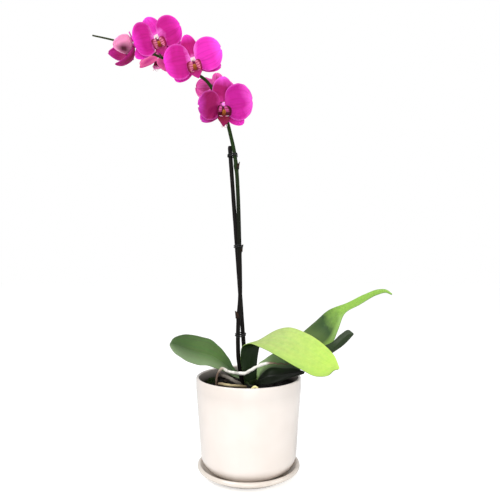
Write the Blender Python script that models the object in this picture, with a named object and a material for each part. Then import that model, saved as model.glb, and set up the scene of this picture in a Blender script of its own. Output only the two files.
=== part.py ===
"""A moth orchid in a white glazed pot that stands on its saucer.

The plant has five leaves on a short crown, aerial roots, one arching flower
spike tied to a stake, and six flowers.  Every flower is seven pieces: three
sepals, two petals, a lip and a column.

Lengths are written in millimetres and become metres in make_object().  The
origin is the centre of the saucer's flat foot, +Z is up, and the open flowers
face -Y.
"""

import math
from dataclasses import dataclass, field

import bmesh
import bpy
import numpy as np
from mathutils import Matrix, Vector

MM = 0.001
GAP = 0.3                       # clearance between touching pieces
SHARP_ANGLE = math.radians(50)

# Pot and saucer
SAUCER_FLOOR = 3.5
# Radius and height along the saucer: its foot, its flared wall, its thick rounded edge, its floor
SAUCER_PROFILE = [(0, 0), (49, 0), (52.5, 1.5), (58, 4.8), (62.5, 7.4), (65, 8.8), (65.8, 10.4),
                  (65.5, 12.2), (64, 13.6), (62.2, 13.6), (60.8, 12.3), (56, 7.5), (50, 4.6),
                  (44, SAUCER_FLOOR), (0, SAUCER_FLOOR)]
POT_FOOT_RADIUS = 34.0
POT_HEEL_RADIUS = 61.5          # where the rounded heel meets the wall
POT_HEEL_HEIGHT = 27.0
POT_RIM_RADIUS = 68.0
POT_TOP = 123.4
POT_COLLAR = 14.0               # the wall is upright this far below the rim
POT_WALL = 3.6
POT_LIP = POT_WALL / 2          # rounding of the rim
POT_FLOOR = 8.8
POT_INNER_HEEL = (25.9, POT_HEEL_HEIGHT - POT_FLOOR)  # radii of the rounding inside
INNER_HEEL_ANGLES = (-22, -90, 4)  # start and stop in degrees, and steps
DRAIN_RADIUS = 7.0
TURNED_SEGMENTS = 32

# Growing medium and the plant's short crown
MEDIUM_EDGE = 106.0
MEDIUM_SHOULDER = (40.0, 108.5)  # radius and height
MEDIUM_MOUND = 111.0
MEDIUM_MOUND_RADIUS = 14.0
CROWN_CENTRE = (2.0, 0.0)
CROWN_RADIUS = 7.5
CROWN_TOP = 131.0
CROWN_SEGMENTS = 14

# Spike, stake and ties
SPIKE_SIDES = 8
SPIKE_RINGS = 52
SPIKE_NODE_SWELLING = 0.8
STAKE_RADIUS = 2.1
STAKE_SIDES = 10
STAKE_TOP = Vector((-25.3, 4.5, 426.5))
STAKE_FOOT = Vector((0.4, 12.0, 69.0))
TIE_HEIGHTS = {"tie_bottom": 176.0, "tie_middle": 292.0, "tie_top": 413.5}
TIE_BAND_HEIGHT = 5.0
TIE_BAND_THICKNESS = 1.2
TIE_ARC_POINTS = 9
TIE_CLEARANCE = 0.35
PEDICEL_RADIUS = 1.35
PEDICEL_NECK = 7.0              # straight run behind the flower
PEDICEL_SAG = Vector((0, 0, -1))

# Flower pieces, before each flower's own scale
TEPAL_THICKNESS = 0.7
CLAW_RADIUS = 2.9               # the blades start this far from the flower's axis
COLUMN_RADIUS = 2.3
COLUMN_LENGTH = 8.5
COLUMN_FOOT = -1.3
COLUMN_SEGMENTS = 10
SEPAL_LEVEL = -0.85
PETAL_LEVEL = 0.65
TEPAL_ROWS = 6
TEPAL_COLUMNS = 4
LIP_ROWS = 8
LIP_COLUMNS = 6

LEAF_THICKNESS = 1.8
LEAF_ROWS = 14
LEAF_COLUMNS = 4

# Each leaf is drawn by its two edges, base to tip, and the depth of the channel along its
# middle, per half width.
LEAF_EDGES = {
    "leaf_left": {
        "far": [(-9, 9, 121), (-18, 10, 130), (-27, 12, 144), (-38, 14, 158), (-52, 15, 168),
                (-70, 14, 173), (-86, 9, 175), (-97, 1, 173), (-102, -7, 166)],
        "near": [(-9, 4.5, 117), (-20, 1, 122), (-32, -10, 131), (-49, -18, 139), (-64, -22, 142),
                 (-80, -24, 148), (-90, -23, 155), (-98, -18, 161), (-102, -9, 164)],
        "channel": 0.16,
    },
    "leaf_front": {
        "far": [(10, -8, 122), (12, -3, 150), (17, 0, 168), (30, -2, 180), (50, -9, 187),
                (74, -22, 181), (93, -44, 169), (101.5, -62, 160), (104, -79, 150)],
        "near": [(-5, -12, 118), (-10, -15, 150), (-8, -18, 164), (1, -24, 169), (14, -32, 166),
                 (38, -52, 157), (60, -72, 147), (78, -88, 142), (89, -91, 144), (96, -87, 148.5),
                 (102.8, -81, 148.7)],
        "channel": 0.10,
    },
    "leaf_back": {
        "far": [(8, 9, 123), (18, 15, 131), (29, 20, 138), (50, 33, 152), (78, 50, 174),
                (96, 56, 188), (114, 62, 202), (142, 70, 212), (172, 80, 225), (196, 88, 231.5),
                (208, 91, 230.5), (216, 92, 225)],
        "near": [(10, 5.5, 117), (31, 14, 126), (56, 24, 131), (85, 35, 141), (116, 45, 156),
                 (127, 52, 176), (138, 60, 198), (162, 70, 210), (192, 82, 224), (206, 88, 226.5),
                 (215.5, 91, 223)],
        "channel": 0.20,
    },
    "leaf_right": {
        "far": [(11.5, 4, 117), (10.5, 6, 128), (13, 8, 137), (21, 10, 142.3), (29, 12, 147.5),
                (37, 14, 151.5), (69, 20, 156),
                (97, 26, 157), (113, 30, 161), (128, 37, 172), (140, 42, 177), (147, 44, 172)],
        "near": [(12.5, -2.5, 113), (20, -1, 127), (30, 0, 130.5), (62, 2, 129.5), (92, 12, 140),
                 (117, 22, 151), (129, 30, 157), (140, 37, 165), (147, 43, 170.5)],
        "channel": 0.26,
    },
    "leaf_low": {
        "far": [(10, -3, 114.5), (17, -9, 127), (25, -13, 135), (43, -16, 136.5), (60, -22, 136.5),
                (70, -28, 134.5)],
        "near": [(6, -9, 114.5), (12, -24, 118), (30, -35, 121), (52, -35, 129), (69, -31, 133)],
        "channel": 0.12,
    },
}

SPIKE_ROUTE = [
    (-8.6, 0, 112.5), (-9.2, -0.5, 118), (-10.5, -1, 128), (-13, -2, 144), (-13.9, -2, 164),
    (-13.8, -2, 183), (-13.1, -1, 201), (-11.4, 0, 222), (-11.3, 0, 255), (-12.1, 0, 291),
    (-13, 0, 327), (-14.1, 0, 360), (-16.5, 0, 398), (-19.5, 0, 420), (-23.5, 0, 438),
    (-28.5, 0, 458), (-36, 0, 479), (-46, 0, 498), (-56, 0, 513), (-67, 0, 521.5), (-94, 0, 535),
    (-128, 0, 550), (-161, 0, 563), (-184, 0, 569.5), (-208.6, 0, 575),
]
# Spike radius at a height above the foot: thick below, then thin along the arch
SPIKE_TAPER = {112: 2.8, 400: 2.6, 480: 2.4, 535: 1.9, 563: 1.3, 575: 0.8}
SPIKE_NODE_HEIGHTS = (201, 288, 398)

ROOT_ROUTES = {
    "root_aerial": ([(-38, -31, 113), (-40, -32, 120), (-39.5, -30, 127), (-38, -28, 133),
                     (-32.5, -26, 138), (-27, -24, 134.5), (-20, -21, 132), (-11, -15, 129.5),
                     (-4, -17, 130), (2, -19, 134), (13, -20, 140), (24, -20, 143.5),
                     (34, -21, 144)], 2.1),
    "root_pale": ([(-36, -37, 122), (-26, -40, 121), (-14, -40, 120), (-3, -33, 117)], 1.7),
    "root_grey": ([(-34, -24, 130), (-26, -27, 127), (-17, -29, 123), (-9, -26, 118)], 2.4),
}


@dataclass(frozen=True)
class Tepal:
    """A sepal or petal as it lies in the flower's disc."""

    angle: float                # degrees from the flower's right-hand side
    length: float
    width: float
    claw: float                 # width where it meets the column
    swell: float                # low: the blade widens close to the claw
    tip: float                  # low: a blunt round tip
    level: float                # how far in front of the flower's disc it starts
    lean: float                 # rise towards the viewer per length


@dataclass(frozen=True)
class Flower:
    """Where one flower hangs and how far it is open."""

    centre: tuple
    turn: float                 # degrees about the vertical, 0 faces -Y
    nod: float                  # degrees that it looks down
    roll: float
    scale: float
    cup: float                  # degrees that the tepals close round the lip
    joint: tuple                # where its stalk leaves the spike
    growth: dict = field(default_factory=dict)  # tepal: turn in degrees, length and width factors


SEPAL = {"length": 32.5, "width": 21, "claw": 4.6, "swell": 0.5, "tip": 0.55,
         "level": SEPAL_LEVEL, "lean": -0.05}
PETAL = {"length": 36, "width": 47, "claw": 4.6, "swell": 0.5, "tip": 0.5,
         "level": PETAL_LEVEL, "lean": 0.03}
TEPALS = {
    "dorsal_sepal": Tepal(angle=90, **SEPAL),
    "sepal_left": Tepal(angle=221, **SEPAL),
    "sepal_right": Tepal(angle=-41, **SEPAL),
    "petal_left": Tepal(angle=170, **PETAL),
    "petal_right": Tepal(angle=10, **PETAL),
}
FLOWERS = {
    "flower_1": Flower((-33, -28, 472), turn=18, nod=20, roll=4, scale=1.0, cup=30, joint=(-32, 0, 470),
                       growth={"petal_left": (15, 0.86, 0.78), "sepal_left": (-6, 0.97, 1.0),
                               "dorsal_sepal": (2, 0.93, 1.25)}),
    "flower_2": Flower((-71, -28, 530), turn=2, nod=20, roll=17, scale=1.02, cup=24, joint=(-80, 0, 528),
                       growth={"petal_left": (4, 0.93, 0.91), "petal_right": (-7, 1.0, 0.86),
                               "dorsal_sepal": (0, 0.8, 0.95), "sepal_left": (-8, 0.95, 1.0),
                               "sepal_right": (12, 1.0, 1.0)}),
    "flower_3": Flower((-119, -24, 561), turn=14, nod=18, roll=24, scale=1.0, cup=34, joint=(-117, 0, 545),
                       growth={"petal_left": (4, 0.78, 0.9), "petal_right": (-5, 0.9, 0.82),
                               "dorsal_sepal": (8, 0.67, 1.1), "sepal_left": (-16, 1.08, 0.9)}),
    "flower_4": Flower((-149, -22, 552), turn=-82, nod=10, roll=0, scale=1.0, cup=100,
                       joint=(-146, 0, 557.3),
                       growth={"petal_left": (6, 1.35, 0.7), "petal_right": (-30, 1.0, 0.6),
                               "dorsal_sepal": (-8, 0.4, 0.9), "sepal_right": (-34, 1.15, 0.85),
                               "sepal_left": (-15, 0.55, 0.9)}),
    "flower_5": Flower((-41, 26, 511), turn=200, nod=15, roll=0, scale=0.85, cup=30, joint=(-55, 0, 512)),
    "flower_6": Flower((-124, 22, 556), turn=175, nod=30, roll=15, scale=0.85, cup=40,
                       joint=(-132, 0, 551.5)),
}

COLOURS = {
    "glaze": ("F4F0EA", 0.12),
    "bark": ("3B2E22", 0.95),
    "leaf": ("6F8F4A", 0.45),
    "stem": ("39402A", 0.55),
    "stake": ("2C2829", 0.6),
    "tie": ("161616", 0.4),
    "root": ("D9D8C6", 0.7),
    "sepal": ("D22AA0", 0.55),
    "petal": ("CE1E90", 0.55),
    "lip": ("95154C", 0.45),
    "column": ("F3B4E4", 0.5),
}


def clear_scene():
    """Remove every object that the file holds."""
    for item in list(bpy.data.objects):
        bpy.data.objects.remove(item, do_unlink=True)


def linear_colour(hex_code):
    """Turn an sRGB hex colour into linear red, green, blue and alpha."""
    channels = [int(hex_code[i:i + 2], 16) / 255 for i in (0, 2, 4)]
    return [c / 12.92 if c <= 0.04045 else ((c + 0.055) / 1.055) ** 2.4 for c in channels] + [1.0]


def make_material(name):
    """Return the named finish, made on first use."""
    if name in bpy.data.materials:
        return bpy.data.materials[name]
    hex_code, roughness = COLOURS[name]
    material = bpy.data.materials.new(name)
    material.use_nodes = True
    shader = material.node_tree.nodes["Principled BSDF"]
    shader.inputs["Base Color"].default_value = linear_colour(hex_code)
    shader.inputs["Roughness"].default_value = roughness
    return material


def make_object(name, points, faces, material_name):
    """Make a closed mesh from millimetre points and turn its faces outwards."""
    mesh = bpy.data.meshes.new(name)
    mesh.from_pydata([tuple(float(c) * MM for c in point) for point in points], [], faces)
    shell = bmesh.new()
    shell.from_mesh(mesh)
    bmesh.ops.recalc_face_normals(shell, faces=shell.faces)
    shell.to_mesh(mesh)
    shell.free()
    mesh.materials.append(make_material(material_name))
    mesh.shade_smooth()
    mesh.set_sharp_from_angle(angle=SHARP_ANGLE)
    item = bpy.data.objects.new(name, mesh)
    bpy.context.collection.objects.link(item)
    return item


def boolean(target, cutter, operation):
    """Join a hidden helper to the target, or cut it away, and keep the modifier."""
    modifier = target.modifiers.new(cutter.name, "BOOLEAN")
    modifier.operation = operation
    modifier.object = cutter
    cutter.hide_render = True
    cutter.display_type = "WIRE"


def smooth_curve(points):
    """Return a function of 0..1 that runs smoothly through the given points."""
    knots = np.array(points, dtype=float)
    steps = np.linalg.norm(np.diff(knots, axis=0), axis=1)
    places = np.concatenate([[0.0], np.cumsum(steps)]) / steps.sum()
    slopes = np.gradient(knots, places, axis=0)

    def at(t):
        i = int(np.clip(np.searchsorted(places, t) - 1, 0, len(knots) - 2))
        span = places[i + 1] - places[i]
        u = (t - places[i]) / span
        start = knots[i] * (1 + 2 * u) * (1 - u) ** 2 + slopes[i] * span * u * (1 - u) ** 2
        end = knots[i + 1] * u * u * (3 - 2 * u) - slopes[i + 1] * span * u * u * (1 - u)
        return start + end

    return at


def turned(name, profile, material_name, centre=(0.0, 0.0), segments=TURNED_SEGMENTS):
    """Spin a profile of (radius, height) about a vertical axis.

    A profile that starts and ends on the axis makes a solid; one that doesn't
    is closed on itself and makes a ring.
    """
    on_axis = profile[0][0] == 0
    points, rows = [], []
    for radius, height in profile:
        if radius == 0:
            rows.append([len(points)] * segments)
            points.append((centre[0], centre[1], height))
            continue
        rows.append(list(range(len(points), len(points) + segments)))
        for i in range(segments):
            angle = 2 * math.pi * i / segments
            points.append((centre[0] + radius * math.cos(angle),
                           centre[1] + radius * math.sin(angle), height))
    pairs = list(zip(rows, rows[1:]))
    if not on_axis:
        pairs.append((rows[-1], rows[0]))
    faces = []
    for lower, upper in pairs:
        for i in range(segments):
            j = (i + 1) % segments
            corners = [lower[i], lower[j], upper[j], upper[i]]
            faces.append(list(dict.fromkeys(corners)))
    return make_object(name, points, faces, material_name)


def tube(name, route, radius_at, rings, sides, material_name):
    """Sweep a round section along a smooth route; radius_at takes a point on it."""
    curve = smooth_curve(route)
    centres = [Vector(curve(t)) for t in np.linspace(0, 1, rings)]
    points, faces = [], []
    across = Vector((0, 1, 0))
    for i, centre in enumerate(centres):
        ahead = (centres[min(i + 1, rings - 1)] - centres[max(i - 1, 0)]).normalized()
        across = (across - ahead * across.dot(ahead)).normalized()
        other = ahead.cross(across)
        radius = float(radius_at(centre))
        for k in range(sides):
            angle = 2 * math.pi * k / sides
            points.append(centre + radius * (math.cos(angle) * across + math.sin(angle) * other))
    for i in range(rings - 1):
        for k in range(sides):
            j = (k + 1) % sides
            faces.append([i * sides + k, i * sides + j, (i + 1) * sides + j, (i + 1) * sides + k])
    faces.append(list(range(sides)))
    faces.append(list(range((rings - 1) * sides, rings * sides)))
    return make_object(name, points, faces, material_name)


def blade(name, surface, rows, columns, thickness, material_name):
    """Make a thin closed solid about a surface given as surface(s, q).

    s runs 0..1 from base to tip and q runs -1..1 from one edge to the other.
    """
    middle = np.array([[surface(s, q) for q in np.linspace(-1, 1, columns + 1)]
                       for s in np.linspace(0, 1, rows + 1)])
    normal = np.cross(np.gradient(middle, axis=0), np.gradient(middle, axis=1))
    normal /= np.linalg.norm(normal, axis=2, keepdims=True)
    width = columns + 1
    layer = (rows + 1) * width
    points = np.concatenate([(middle + normal * thickness / 2).reshape(-1, 3),
                             (middle - normal * thickness / 2).reshape(-1, 3)])
    faces = []
    for i in range(rows):
        for j in range(columns):
            a = i * width + j
            quad = [a, a + width, a + width + 1, a + 1]
            faces.append(quad)
            faces.append([index + layer for index in reversed(quad)])
    rim = [(i, 0) for i in range(rows)] + [(rows, j) for j in range(columns)]
    rim += [(i, columns) for i in range(rows, 0, -1)] + [(0, j) for j in range(columns, 0, -1)]
    corners = [i * width + j for i, j in rim]
    for a, b in zip(corners, corners[1:] + corners[:1]):
        faces.append([a, b, b + layer, a + layer])
    return make_object(name, points, faces, material_name)


def arc(centre, radii, start, stop, steps):
    """Points (radius, height) on an ellipse arc, angles in degrees, both ends included."""
    angles = np.radians(np.linspace(start, stop, steps + 1))
    return [(centre[0] + radii[0] * math.cos(a), centre[1] + radii[1] * math.sin(a)) for a in angles]


def pot_outer_radius(height):
    """Radius of the pot's straight, slightly flared wall at a height."""
    rise = (height - POT_HEEL_HEIGHT) / (POT_TOP - POT_COLLAR - POT_HEEL_HEIGHT)
    return POT_HEEL_RADIUS + (POT_RIM_RADIUS - POT_HEEL_RADIUS) * min(rise, 1)


def inner_heel(inset):
    """The rounding inside the pot's heel, moved inwards by an inset."""
    centre = (POT_HEEL_RADIUS - POT_WALL - POT_INNER_HEEL[0], POT_HEEL_HEIGHT)
    return arc(centre, [radius - inset for radius in POT_INNER_HEEL], *INNER_HEEL_ANGLES)


def make_pot():
    """A cylinder with a wide round heel, a rounded lip and a hole in its floor."""
    foot = SAUCER_FLOOR + GAP
    heel = (POT_HEEL_RADIUS - POT_FOOT_RADIUS, POT_HEEL_HEIGHT - foot)
    lip_height = POT_TOP - POT_LIP
    collar = POT_TOP - POT_COLLAR
    profile = [(DRAIN_RADIUS, foot)]
    profile += arc((POT_FOOT_RADIUS, POT_HEEL_HEIGHT), heel, -90, 0, 6)
    profile += [(pot_outer_radius(z), z) for z in ((POT_HEEL_HEIGHT + POT_TOP) / 2, collar)]
    profile += arc((POT_RIM_RADIUS - POT_LIP, lip_height), (POT_LIP, POT_LIP), 0, 180, 4)
    profile += [(pot_outer_radius(z) - POT_WALL, z) for z in (collar, POT_HEEL_HEIGHT)]
    profile += inner_heel(0) + [(DRAIN_RADIUS, POT_FLOOR)]
    return turned("pot", profile, "glaze")


def make_growing_medium():
    """Bark mix that fills the pot, mounded in the middle, bored for the stake."""
    inner = POT_WALL + GAP
    heel = inner_heel(2 * GAP)[::-1]
    profile = [(0, heel[0][1])] + heel
    profile += [(pot_outer_radius(z) - inner, z) for z in (2 * POT_HEEL_HEIGHT, MEDIUM_EDGE)]
    profile += [MEDIUM_SHOULDER, (MEDIUM_MOUND_RADIUS, MEDIUM_MOUND), (0, MEDIUM_MOUND)]
    medium = turned("growing_medium", profile, "bark")
    direction = (STAKE_TOP - STAKE_FOOT).normalized()
    route = [STAKE_FOOT + direction * reach for reach in (-GAP, 30, 60)]
    bore = tube("stake_bore", route, lambda point: STAKE_RADIUS + GAP, 3, STAKE_SIDES, "bark")
    boolean(medium, bore, "DIFFERENCE")
    return medium


def make_crown():
    """The short stem that the leaves, roots and spike grow from."""
    foot = MEDIUM_MOUND + GAP
    profile = [(0, foot), (CROWN_RADIUS - 0.6, foot), (CROWN_RADIUS, foot + 6)]
    profile += [(CROWN_RADIUS - 1, CROWN_TOP - 5), (CROWN_RADIUS - 3.5, CROWN_TOP - 1), (0, CROWN_TOP)]
    return turned("crown", profile, "leaf", centre=CROWN_CENTRE, segments=CROWN_SEGMENTS)


def leaf_surface(edges):
    """Return surface(s, q) for a leaf drawn by its far edge, near edge and channel."""
    far, near = smooth_curve(edges["far"]), smooth_curve(edges["near"])
    grows_left = edges["far"][-1][0] < edges["far"][0][0]
    below = 1 if grows_left else -1
    step = 0.02

    def surface(s, q):
        middle = (far(s) + near(s)) / 2
        side = (near(s) - far(s)) / 2
        ahead = sum(edge(min(s + step, 1)) - edge(max(s - step, 0)) for edge in (far, near))
        down = below * np.cross(side, ahead)
        down /= np.linalg.norm(down)
        depth = edges["channel"] * np.linalg.norm(side) * (1 - q * q)
        return middle + side * q + down * depth

    return surface


def make_leaves():
    """The five strap-shaped leaves."""
    for name, edges in LEAF_EDGES.items():
        blade(name, leaf_surface(edges), LEAF_ROWS, LEAF_COLUMNS, LEAF_THICKNESS, "leaf")


def spike_radius(point):
    """Radius of the spike, thicker at its nodes."""
    radius = np.interp(point.z, list(SPIKE_TAPER), list(SPIKE_TAPER.values()))
    swelling = sum(math.exp(-((point.z - height) / 4) ** 2) for height in SPIKE_NODE_HEIGHTS)
    return radius + SPIKE_NODE_SWELLING * swelling


def flower_matrix(flower):
    """Rotation and place of a flower: local +Z is its face, local +Y its top."""
    turn = Matrix.Rotation(math.radians(flower.turn), 3, "Z")
    nod = Matrix.Rotation(math.radians(90 + flower.nod), 3, "X")
    roll = Matrix.Rotation(math.radians(flower.roll), 3, "Z")
    return turn @ nod @ roll


def make_spike():
    """The flower spike and the flower stalks that grow from it, as one piece."""
    spike = tube("flower_spike", SPIKE_ROUTE, spike_radius, SPIKE_RINGS, SPIKE_SIDES, "stem")
    for name, flower in FLOWERS.items():
        face = flower_matrix(flower) @ Vector((0, 0, 1))
        end = Vector(flower.centre) + face * (COLUMN_FOOT * flower.scale - GAP)
        start = Vector(flower.joint)
        route = [start, start.lerp(end, 0.35) + PEDICEL_SAG, end - face * PEDICEL_NECK, end]
        stalk = tube(name + "_stalk", route, lambda point: PEDICEL_RADIUS, 8, 7, "stem")
        boolean(spike, stalk, "UNION")
    return spike


def make_stake():
    """A straight round stick with a blunt top."""
    route = [STAKE_FOOT, STAKE_FOOT.lerp(STAKE_TOP, 0.5), STAKE_TOP]
    return tube("stake", route, lambda point: STAKE_RADIUS, 3, STAKE_SIDES, "stake")


def stake_centre(height):
    """Where the stake's axis is at a height."""
    return STAKE_FOOT.lerp(STAKE_TOP, (height - STAKE_FOOT.z) / (STAKE_TOP.z - STAKE_FOOT.z))


def make_tie(name, height):
    """A band round the spike and the stake: a ring with the outline of both."""
    curve = smooth_curve(SPIKE_ROUTE)
    spike = min((Vector(curve(t)) for t in np.linspace(0, 1, 600)), key=lambda p: abs(p.z - height))
    stake = stake_centre(height)
    reach = stake - spike
    heading = math.atan2(reach.y, reach.x)
    rings = []
    for outside in (GAP, GAP + TIE_BAND_THICKNESS):
        outline = []
        for centre, radius, start in ((stake, STAKE_RADIUS, -90), (spike, spike_radius(spike), 90)):
            for turn in np.linspace(0, 180, TIE_ARC_POINTS):
                angle = heading + math.radians(start + turn)
                spread = radius + TIE_CLEARANCE + outside
                outline.append((centre.x + spread * math.cos(angle), centre.y + spread * math.sin(angle)))
        rings.append(outline)
    inner, outer = rings
    count = len(inner)
    low, high = height - TIE_BAND_HEIGHT / 2, height + TIE_BAND_HEIGHT / 2
    points = [(x, y, z) for z in (low, high) for ring in (inner, outer) for x, y in ring]
    faces = []
    for k in range(count):
        j = (k + 1) % count
        corners = [k, k + count, k + 3 * count, k + 2 * count]
        nexts = [j, j + count, j + 3 * count, j + 2 * count]
        for a in range(4):
            b = (a + 1) % 4
            faces.append([corners[a], corners[b], nexts[b], nexts[a]])
    return make_object(name, points, faces, "tie")


def make_roots():
    """Aerial roots that leave the crown and hang over the growing medium."""
    for name, (route, radius) in ROOT_ROUTES.items():
        tube(name, route, lambda point, radius=radius: radius, 4 * len(route), 8, "root")


def bowl(x, y, height, flower):
    """Fold a point of the flower's flat plan onto the bowl that its tepals close to."""
    closing = math.radians(flower.cup) / PETAL["length"]
    spread, around = math.hypot(x, y), math.atan2(y, x)
    bend = closing * max(spread - CLAW_RADIUS, 0.0)
    out = min(spread, CLAW_RADIUS) + math.sin(bend) / closing - height * math.sin(bend)
    rise = (1 - math.cos(bend)) / closing + height * math.cos(bend)
    return np.array((out * math.cos(around), out * math.sin(around), rise))


def tepal_surface(tepal, flower, growth):
    """Return surface(s, q) for a sepal or petal, in the flower's own frame."""
    turn, longer, wider = growth
    peak_place = tepal.swell / (tepal.swell + tepal.tip)
    peak = peak_place ** tepal.swell * (1 - peak_place) ** tepal.tip
    angle = math.radians(tepal.angle + turn)
    length, width = tepal.length * longer, tepal.width * wider
    reach = 0.985               # the last row stays a short edge, not a point

    def surface(t, q):
        s = reach * math.sin(t * math.pi / 2) ** 0.9
        outline = s ** tepal.swell * (1 - s) ** tepal.tip / peak
        along = CLAW_RADIUS + length * s
        across = q * max(width * outline, tepal.claw * (1 - s)) / 2
        x = along * math.cos(angle) - across * math.sin(angle)
        y = along * math.sin(angle) + across * math.cos(angle)
        return bowl(x, y, tepal.level + tepal.lean * length * s, flower)

    return surface


def lip_surface(flower):
    """Return surface(s, q) for the lip: a claw, two raised side lobes and a pointed middle lobe."""
    path = smooth_curve([(-2.9, 2.2), (-5.0, 3.6), (-8.0, 5.4), (-12.0, 6.6), (-16.5, 6.2),
                         (-21.0, 4.6), (-25.5, 2.2)])
    places = (0, 0.12, 0.26, 0.42, 0.56, 0.68, 0.85, 1.0)
    half_widths = (1.8, 9.0, 14.0, 11.0, 7.0, 9.5, 5.0, 0.6)
    curls = (20, 70, 80, 60, 30, 12, 6, 0)

    def surface(s, q):
        y, height = path(s)
        half = np.interp(s, places, half_widths)
        curl = math.radians(max(np.interp(s, places, curls), 1.0))
        arm = half / curl
        lift = arm * (1 - math.cos(curl * q))
        return bowl(arm * math.sin(curl * q), y + 0.45 * lift, height + 0.9 * lift, flower)

    return surface


def column_profile():
    """Profile of the flower's column: a blunt club with a rounded cap."""
    top = COLUMN_FOOT + COLUMN_LENGTH
    profile = [(0, COLUMN_FOOT), (COLUMN_RADIUS - 0.6, COLUMN_FOOT), (COLUMN_RADIUS - 0.5, 2.0)]
    profile += [(COLUMN_RADIUS, top - 2.6), (COLUMN_RADIUS - 0.9, top - 0.7), (0, top)]
    return profile


def place_in_flower(item, flower):
    """Move an object from the flower's own frame to its place on the spike."""
    frame = flower_matrix(flower).to_4x4()
    frame.translation = Vector(flower.centre) * MM
    item.matrix_world = frame @ Matrix.Scale(flower.scale, 4)


def make_flower(name, flower):
    """Three sepals, two petals, a lip and a column."""
    pieces = []
    for part, tepal in TEPALS.items():
        kind = "petal" if part.startswith("petal") else "sepal"
        surface = tepal_surface(tepal, flower, flower.growth.get(part, (0, 1, 1)))
        pieces.append(blade(f"{name}_{part}", surface, TEPAL_ROWS, TEPAL_COLUMNS, TEPAL_THICKNESS, kind))
    pieces.append(blade(f"{name}_lip", lip_surface(flower), LIP_ROWS, LIP_COLUMNS, TEPAL_THICKNESS, "lip"))
    pieces.append(turned(f"{name}_column", column_profile(), "column", segments=COLUMN_SEGMENTS))
    for piece in pieces:
        place_in_flower(piece, flower)


def main():
    """Build the pot, then the plant from the crown upwards."""
    clear_scene()
    turned("saucer", SAUCER_PROFILE, "glaze")
    make_pot()
    make_growing_medium()
    make_crown()
    make_leaves()
    make_roots()
    make_spike()
    make_stake()
    for name, height in TIE_HEIGHTS.items():
        make_tie(name, height)
    for name, flower in FLOWERS.items():
        make_flower(name, flower)


if __name__ == "__main__":
    main()
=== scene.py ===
"""The looks of a moth orchid in a glazed pot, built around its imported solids.

Every shape is worked out in millimetres in the solids' own frame and becomes
metres in make_piece().  Each grown, cast or wound part is a class with its
sizes, a build method and a finish.
"""

import logging
import math
from collections.abc import Callable, Mapping, Sequence
from dataclasses import dataclass, field, replace
from enum import Enum
from functools import partial

import bmesh
import bpy
import numpy as np
from mathutils import Matrix, Vector


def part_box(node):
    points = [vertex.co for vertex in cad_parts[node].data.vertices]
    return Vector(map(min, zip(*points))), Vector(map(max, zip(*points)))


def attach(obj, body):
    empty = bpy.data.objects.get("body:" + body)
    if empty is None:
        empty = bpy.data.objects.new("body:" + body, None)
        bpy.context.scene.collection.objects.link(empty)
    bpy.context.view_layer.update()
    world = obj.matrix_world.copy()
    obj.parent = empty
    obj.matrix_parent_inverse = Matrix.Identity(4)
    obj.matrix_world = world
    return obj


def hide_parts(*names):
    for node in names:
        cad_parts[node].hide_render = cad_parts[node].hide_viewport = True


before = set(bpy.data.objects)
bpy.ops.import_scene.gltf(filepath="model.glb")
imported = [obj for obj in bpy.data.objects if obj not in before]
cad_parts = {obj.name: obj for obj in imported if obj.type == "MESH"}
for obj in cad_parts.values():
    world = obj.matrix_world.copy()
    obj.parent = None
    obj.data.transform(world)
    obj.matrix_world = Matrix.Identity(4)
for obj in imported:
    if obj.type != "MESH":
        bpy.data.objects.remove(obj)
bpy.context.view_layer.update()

LOG = logging.getLogger("orchid")
MM = 0.001
BODY = "root"

Array = np.ndarray
Point = tuple[float, float, float]
Pair = tuple[float, float]
Curve = Callable[[Array], Array]
Colour = tuple[float, float, float, float]
NodeAdder = Callable[..., bpy.types.Node]


class Slot(Enum):
    """The record's material slots."""

    SAUCER = "saucer"
    POT = "pot"
    MEDIUM = "growing_medium"
    CROWN = "crown"
    LEAVES = "leaves"
    LEAF_FRONT = "leaf_front"
    ROOTS = "roots"
    SPIKE = "flower_spike"
    STAKE = "stake"
    TIES = "ties"
    SEPALS = "sepals"
    PETALS = "petals"
    LIPS = "lips"
    COLUMNS = "columns"


# ---------------------------------------------------------------------------
# Finishes
# ---------------------------------------------------------------------------


def linear(hex_code: str) -> Colour:
    """Turn an sRGB hex colour into the linear colour that shaders use.

    Args:
        hex_code: Six hex digits, red first.

    Returns:
        Linear red, green, blue and an alpha of 1.
    """
    parts = (int(hex_code[i:i + 2], 16) / 255 for i in (0, 2, 4))
    red, green, blue = (c / 12.92 if c <= 0.04045 else ((c + 0.055) / 1.055) ** 2.4 for c in parts)
    return red, green, blue, 1.0


def feed(node: bpy.types.Node, inputs: Mapping) -> None:
    """Set a node's inputs.

    Args:
        node: The node.
        inputs: Socket name or number to a value, to the output socket that feeds it, or to a
            node whose first live output does.
    """
    for name, value in inputs.items():
        if isinstance(value, bpy.types.Node):
            value = next(output for output in value.outputs if output.enabled)
        if isinstance(value, bpy.types.NodeSocket):
            node.id_data.links.new(value, node.inputs[name])
        else:
            node.inputs[name].default_value = value


def add_node(tree: bpy.types.NodeTree, kind: str, inputs: Mapping | None = None,
             stops: Sequence[tuple[float, str]] = (), **settings: object) -> bpy.types.Node:
    """Add a node, set it up and link what feeds it.

    Args:
        tree: The node tree that gets the node.
        kind: The node's Blender type, without the ShaderNode that it starts with.
        inputs: What feeds it, as feed() takes it.
        stops: For a colour ramp, its places and hex colours: both ends, then those between.
        **settings: The node's own properties.

    Returns:
        The new node.
    """
    node = tree.nodes.new(f"ShaderNode{kind}")
    for name, value in settings.items():
        setattr(node, name, value)
    feed(node, inputs or {})
    for number, (place, hex_code) in enumerate(stops):
        ramp = node.color_ramp.elements
        stop = ramp[number] if number < 2 else ramp.new(place)
        stop.position = place
        stop.color = linear(hex_code)
    return node


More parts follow.
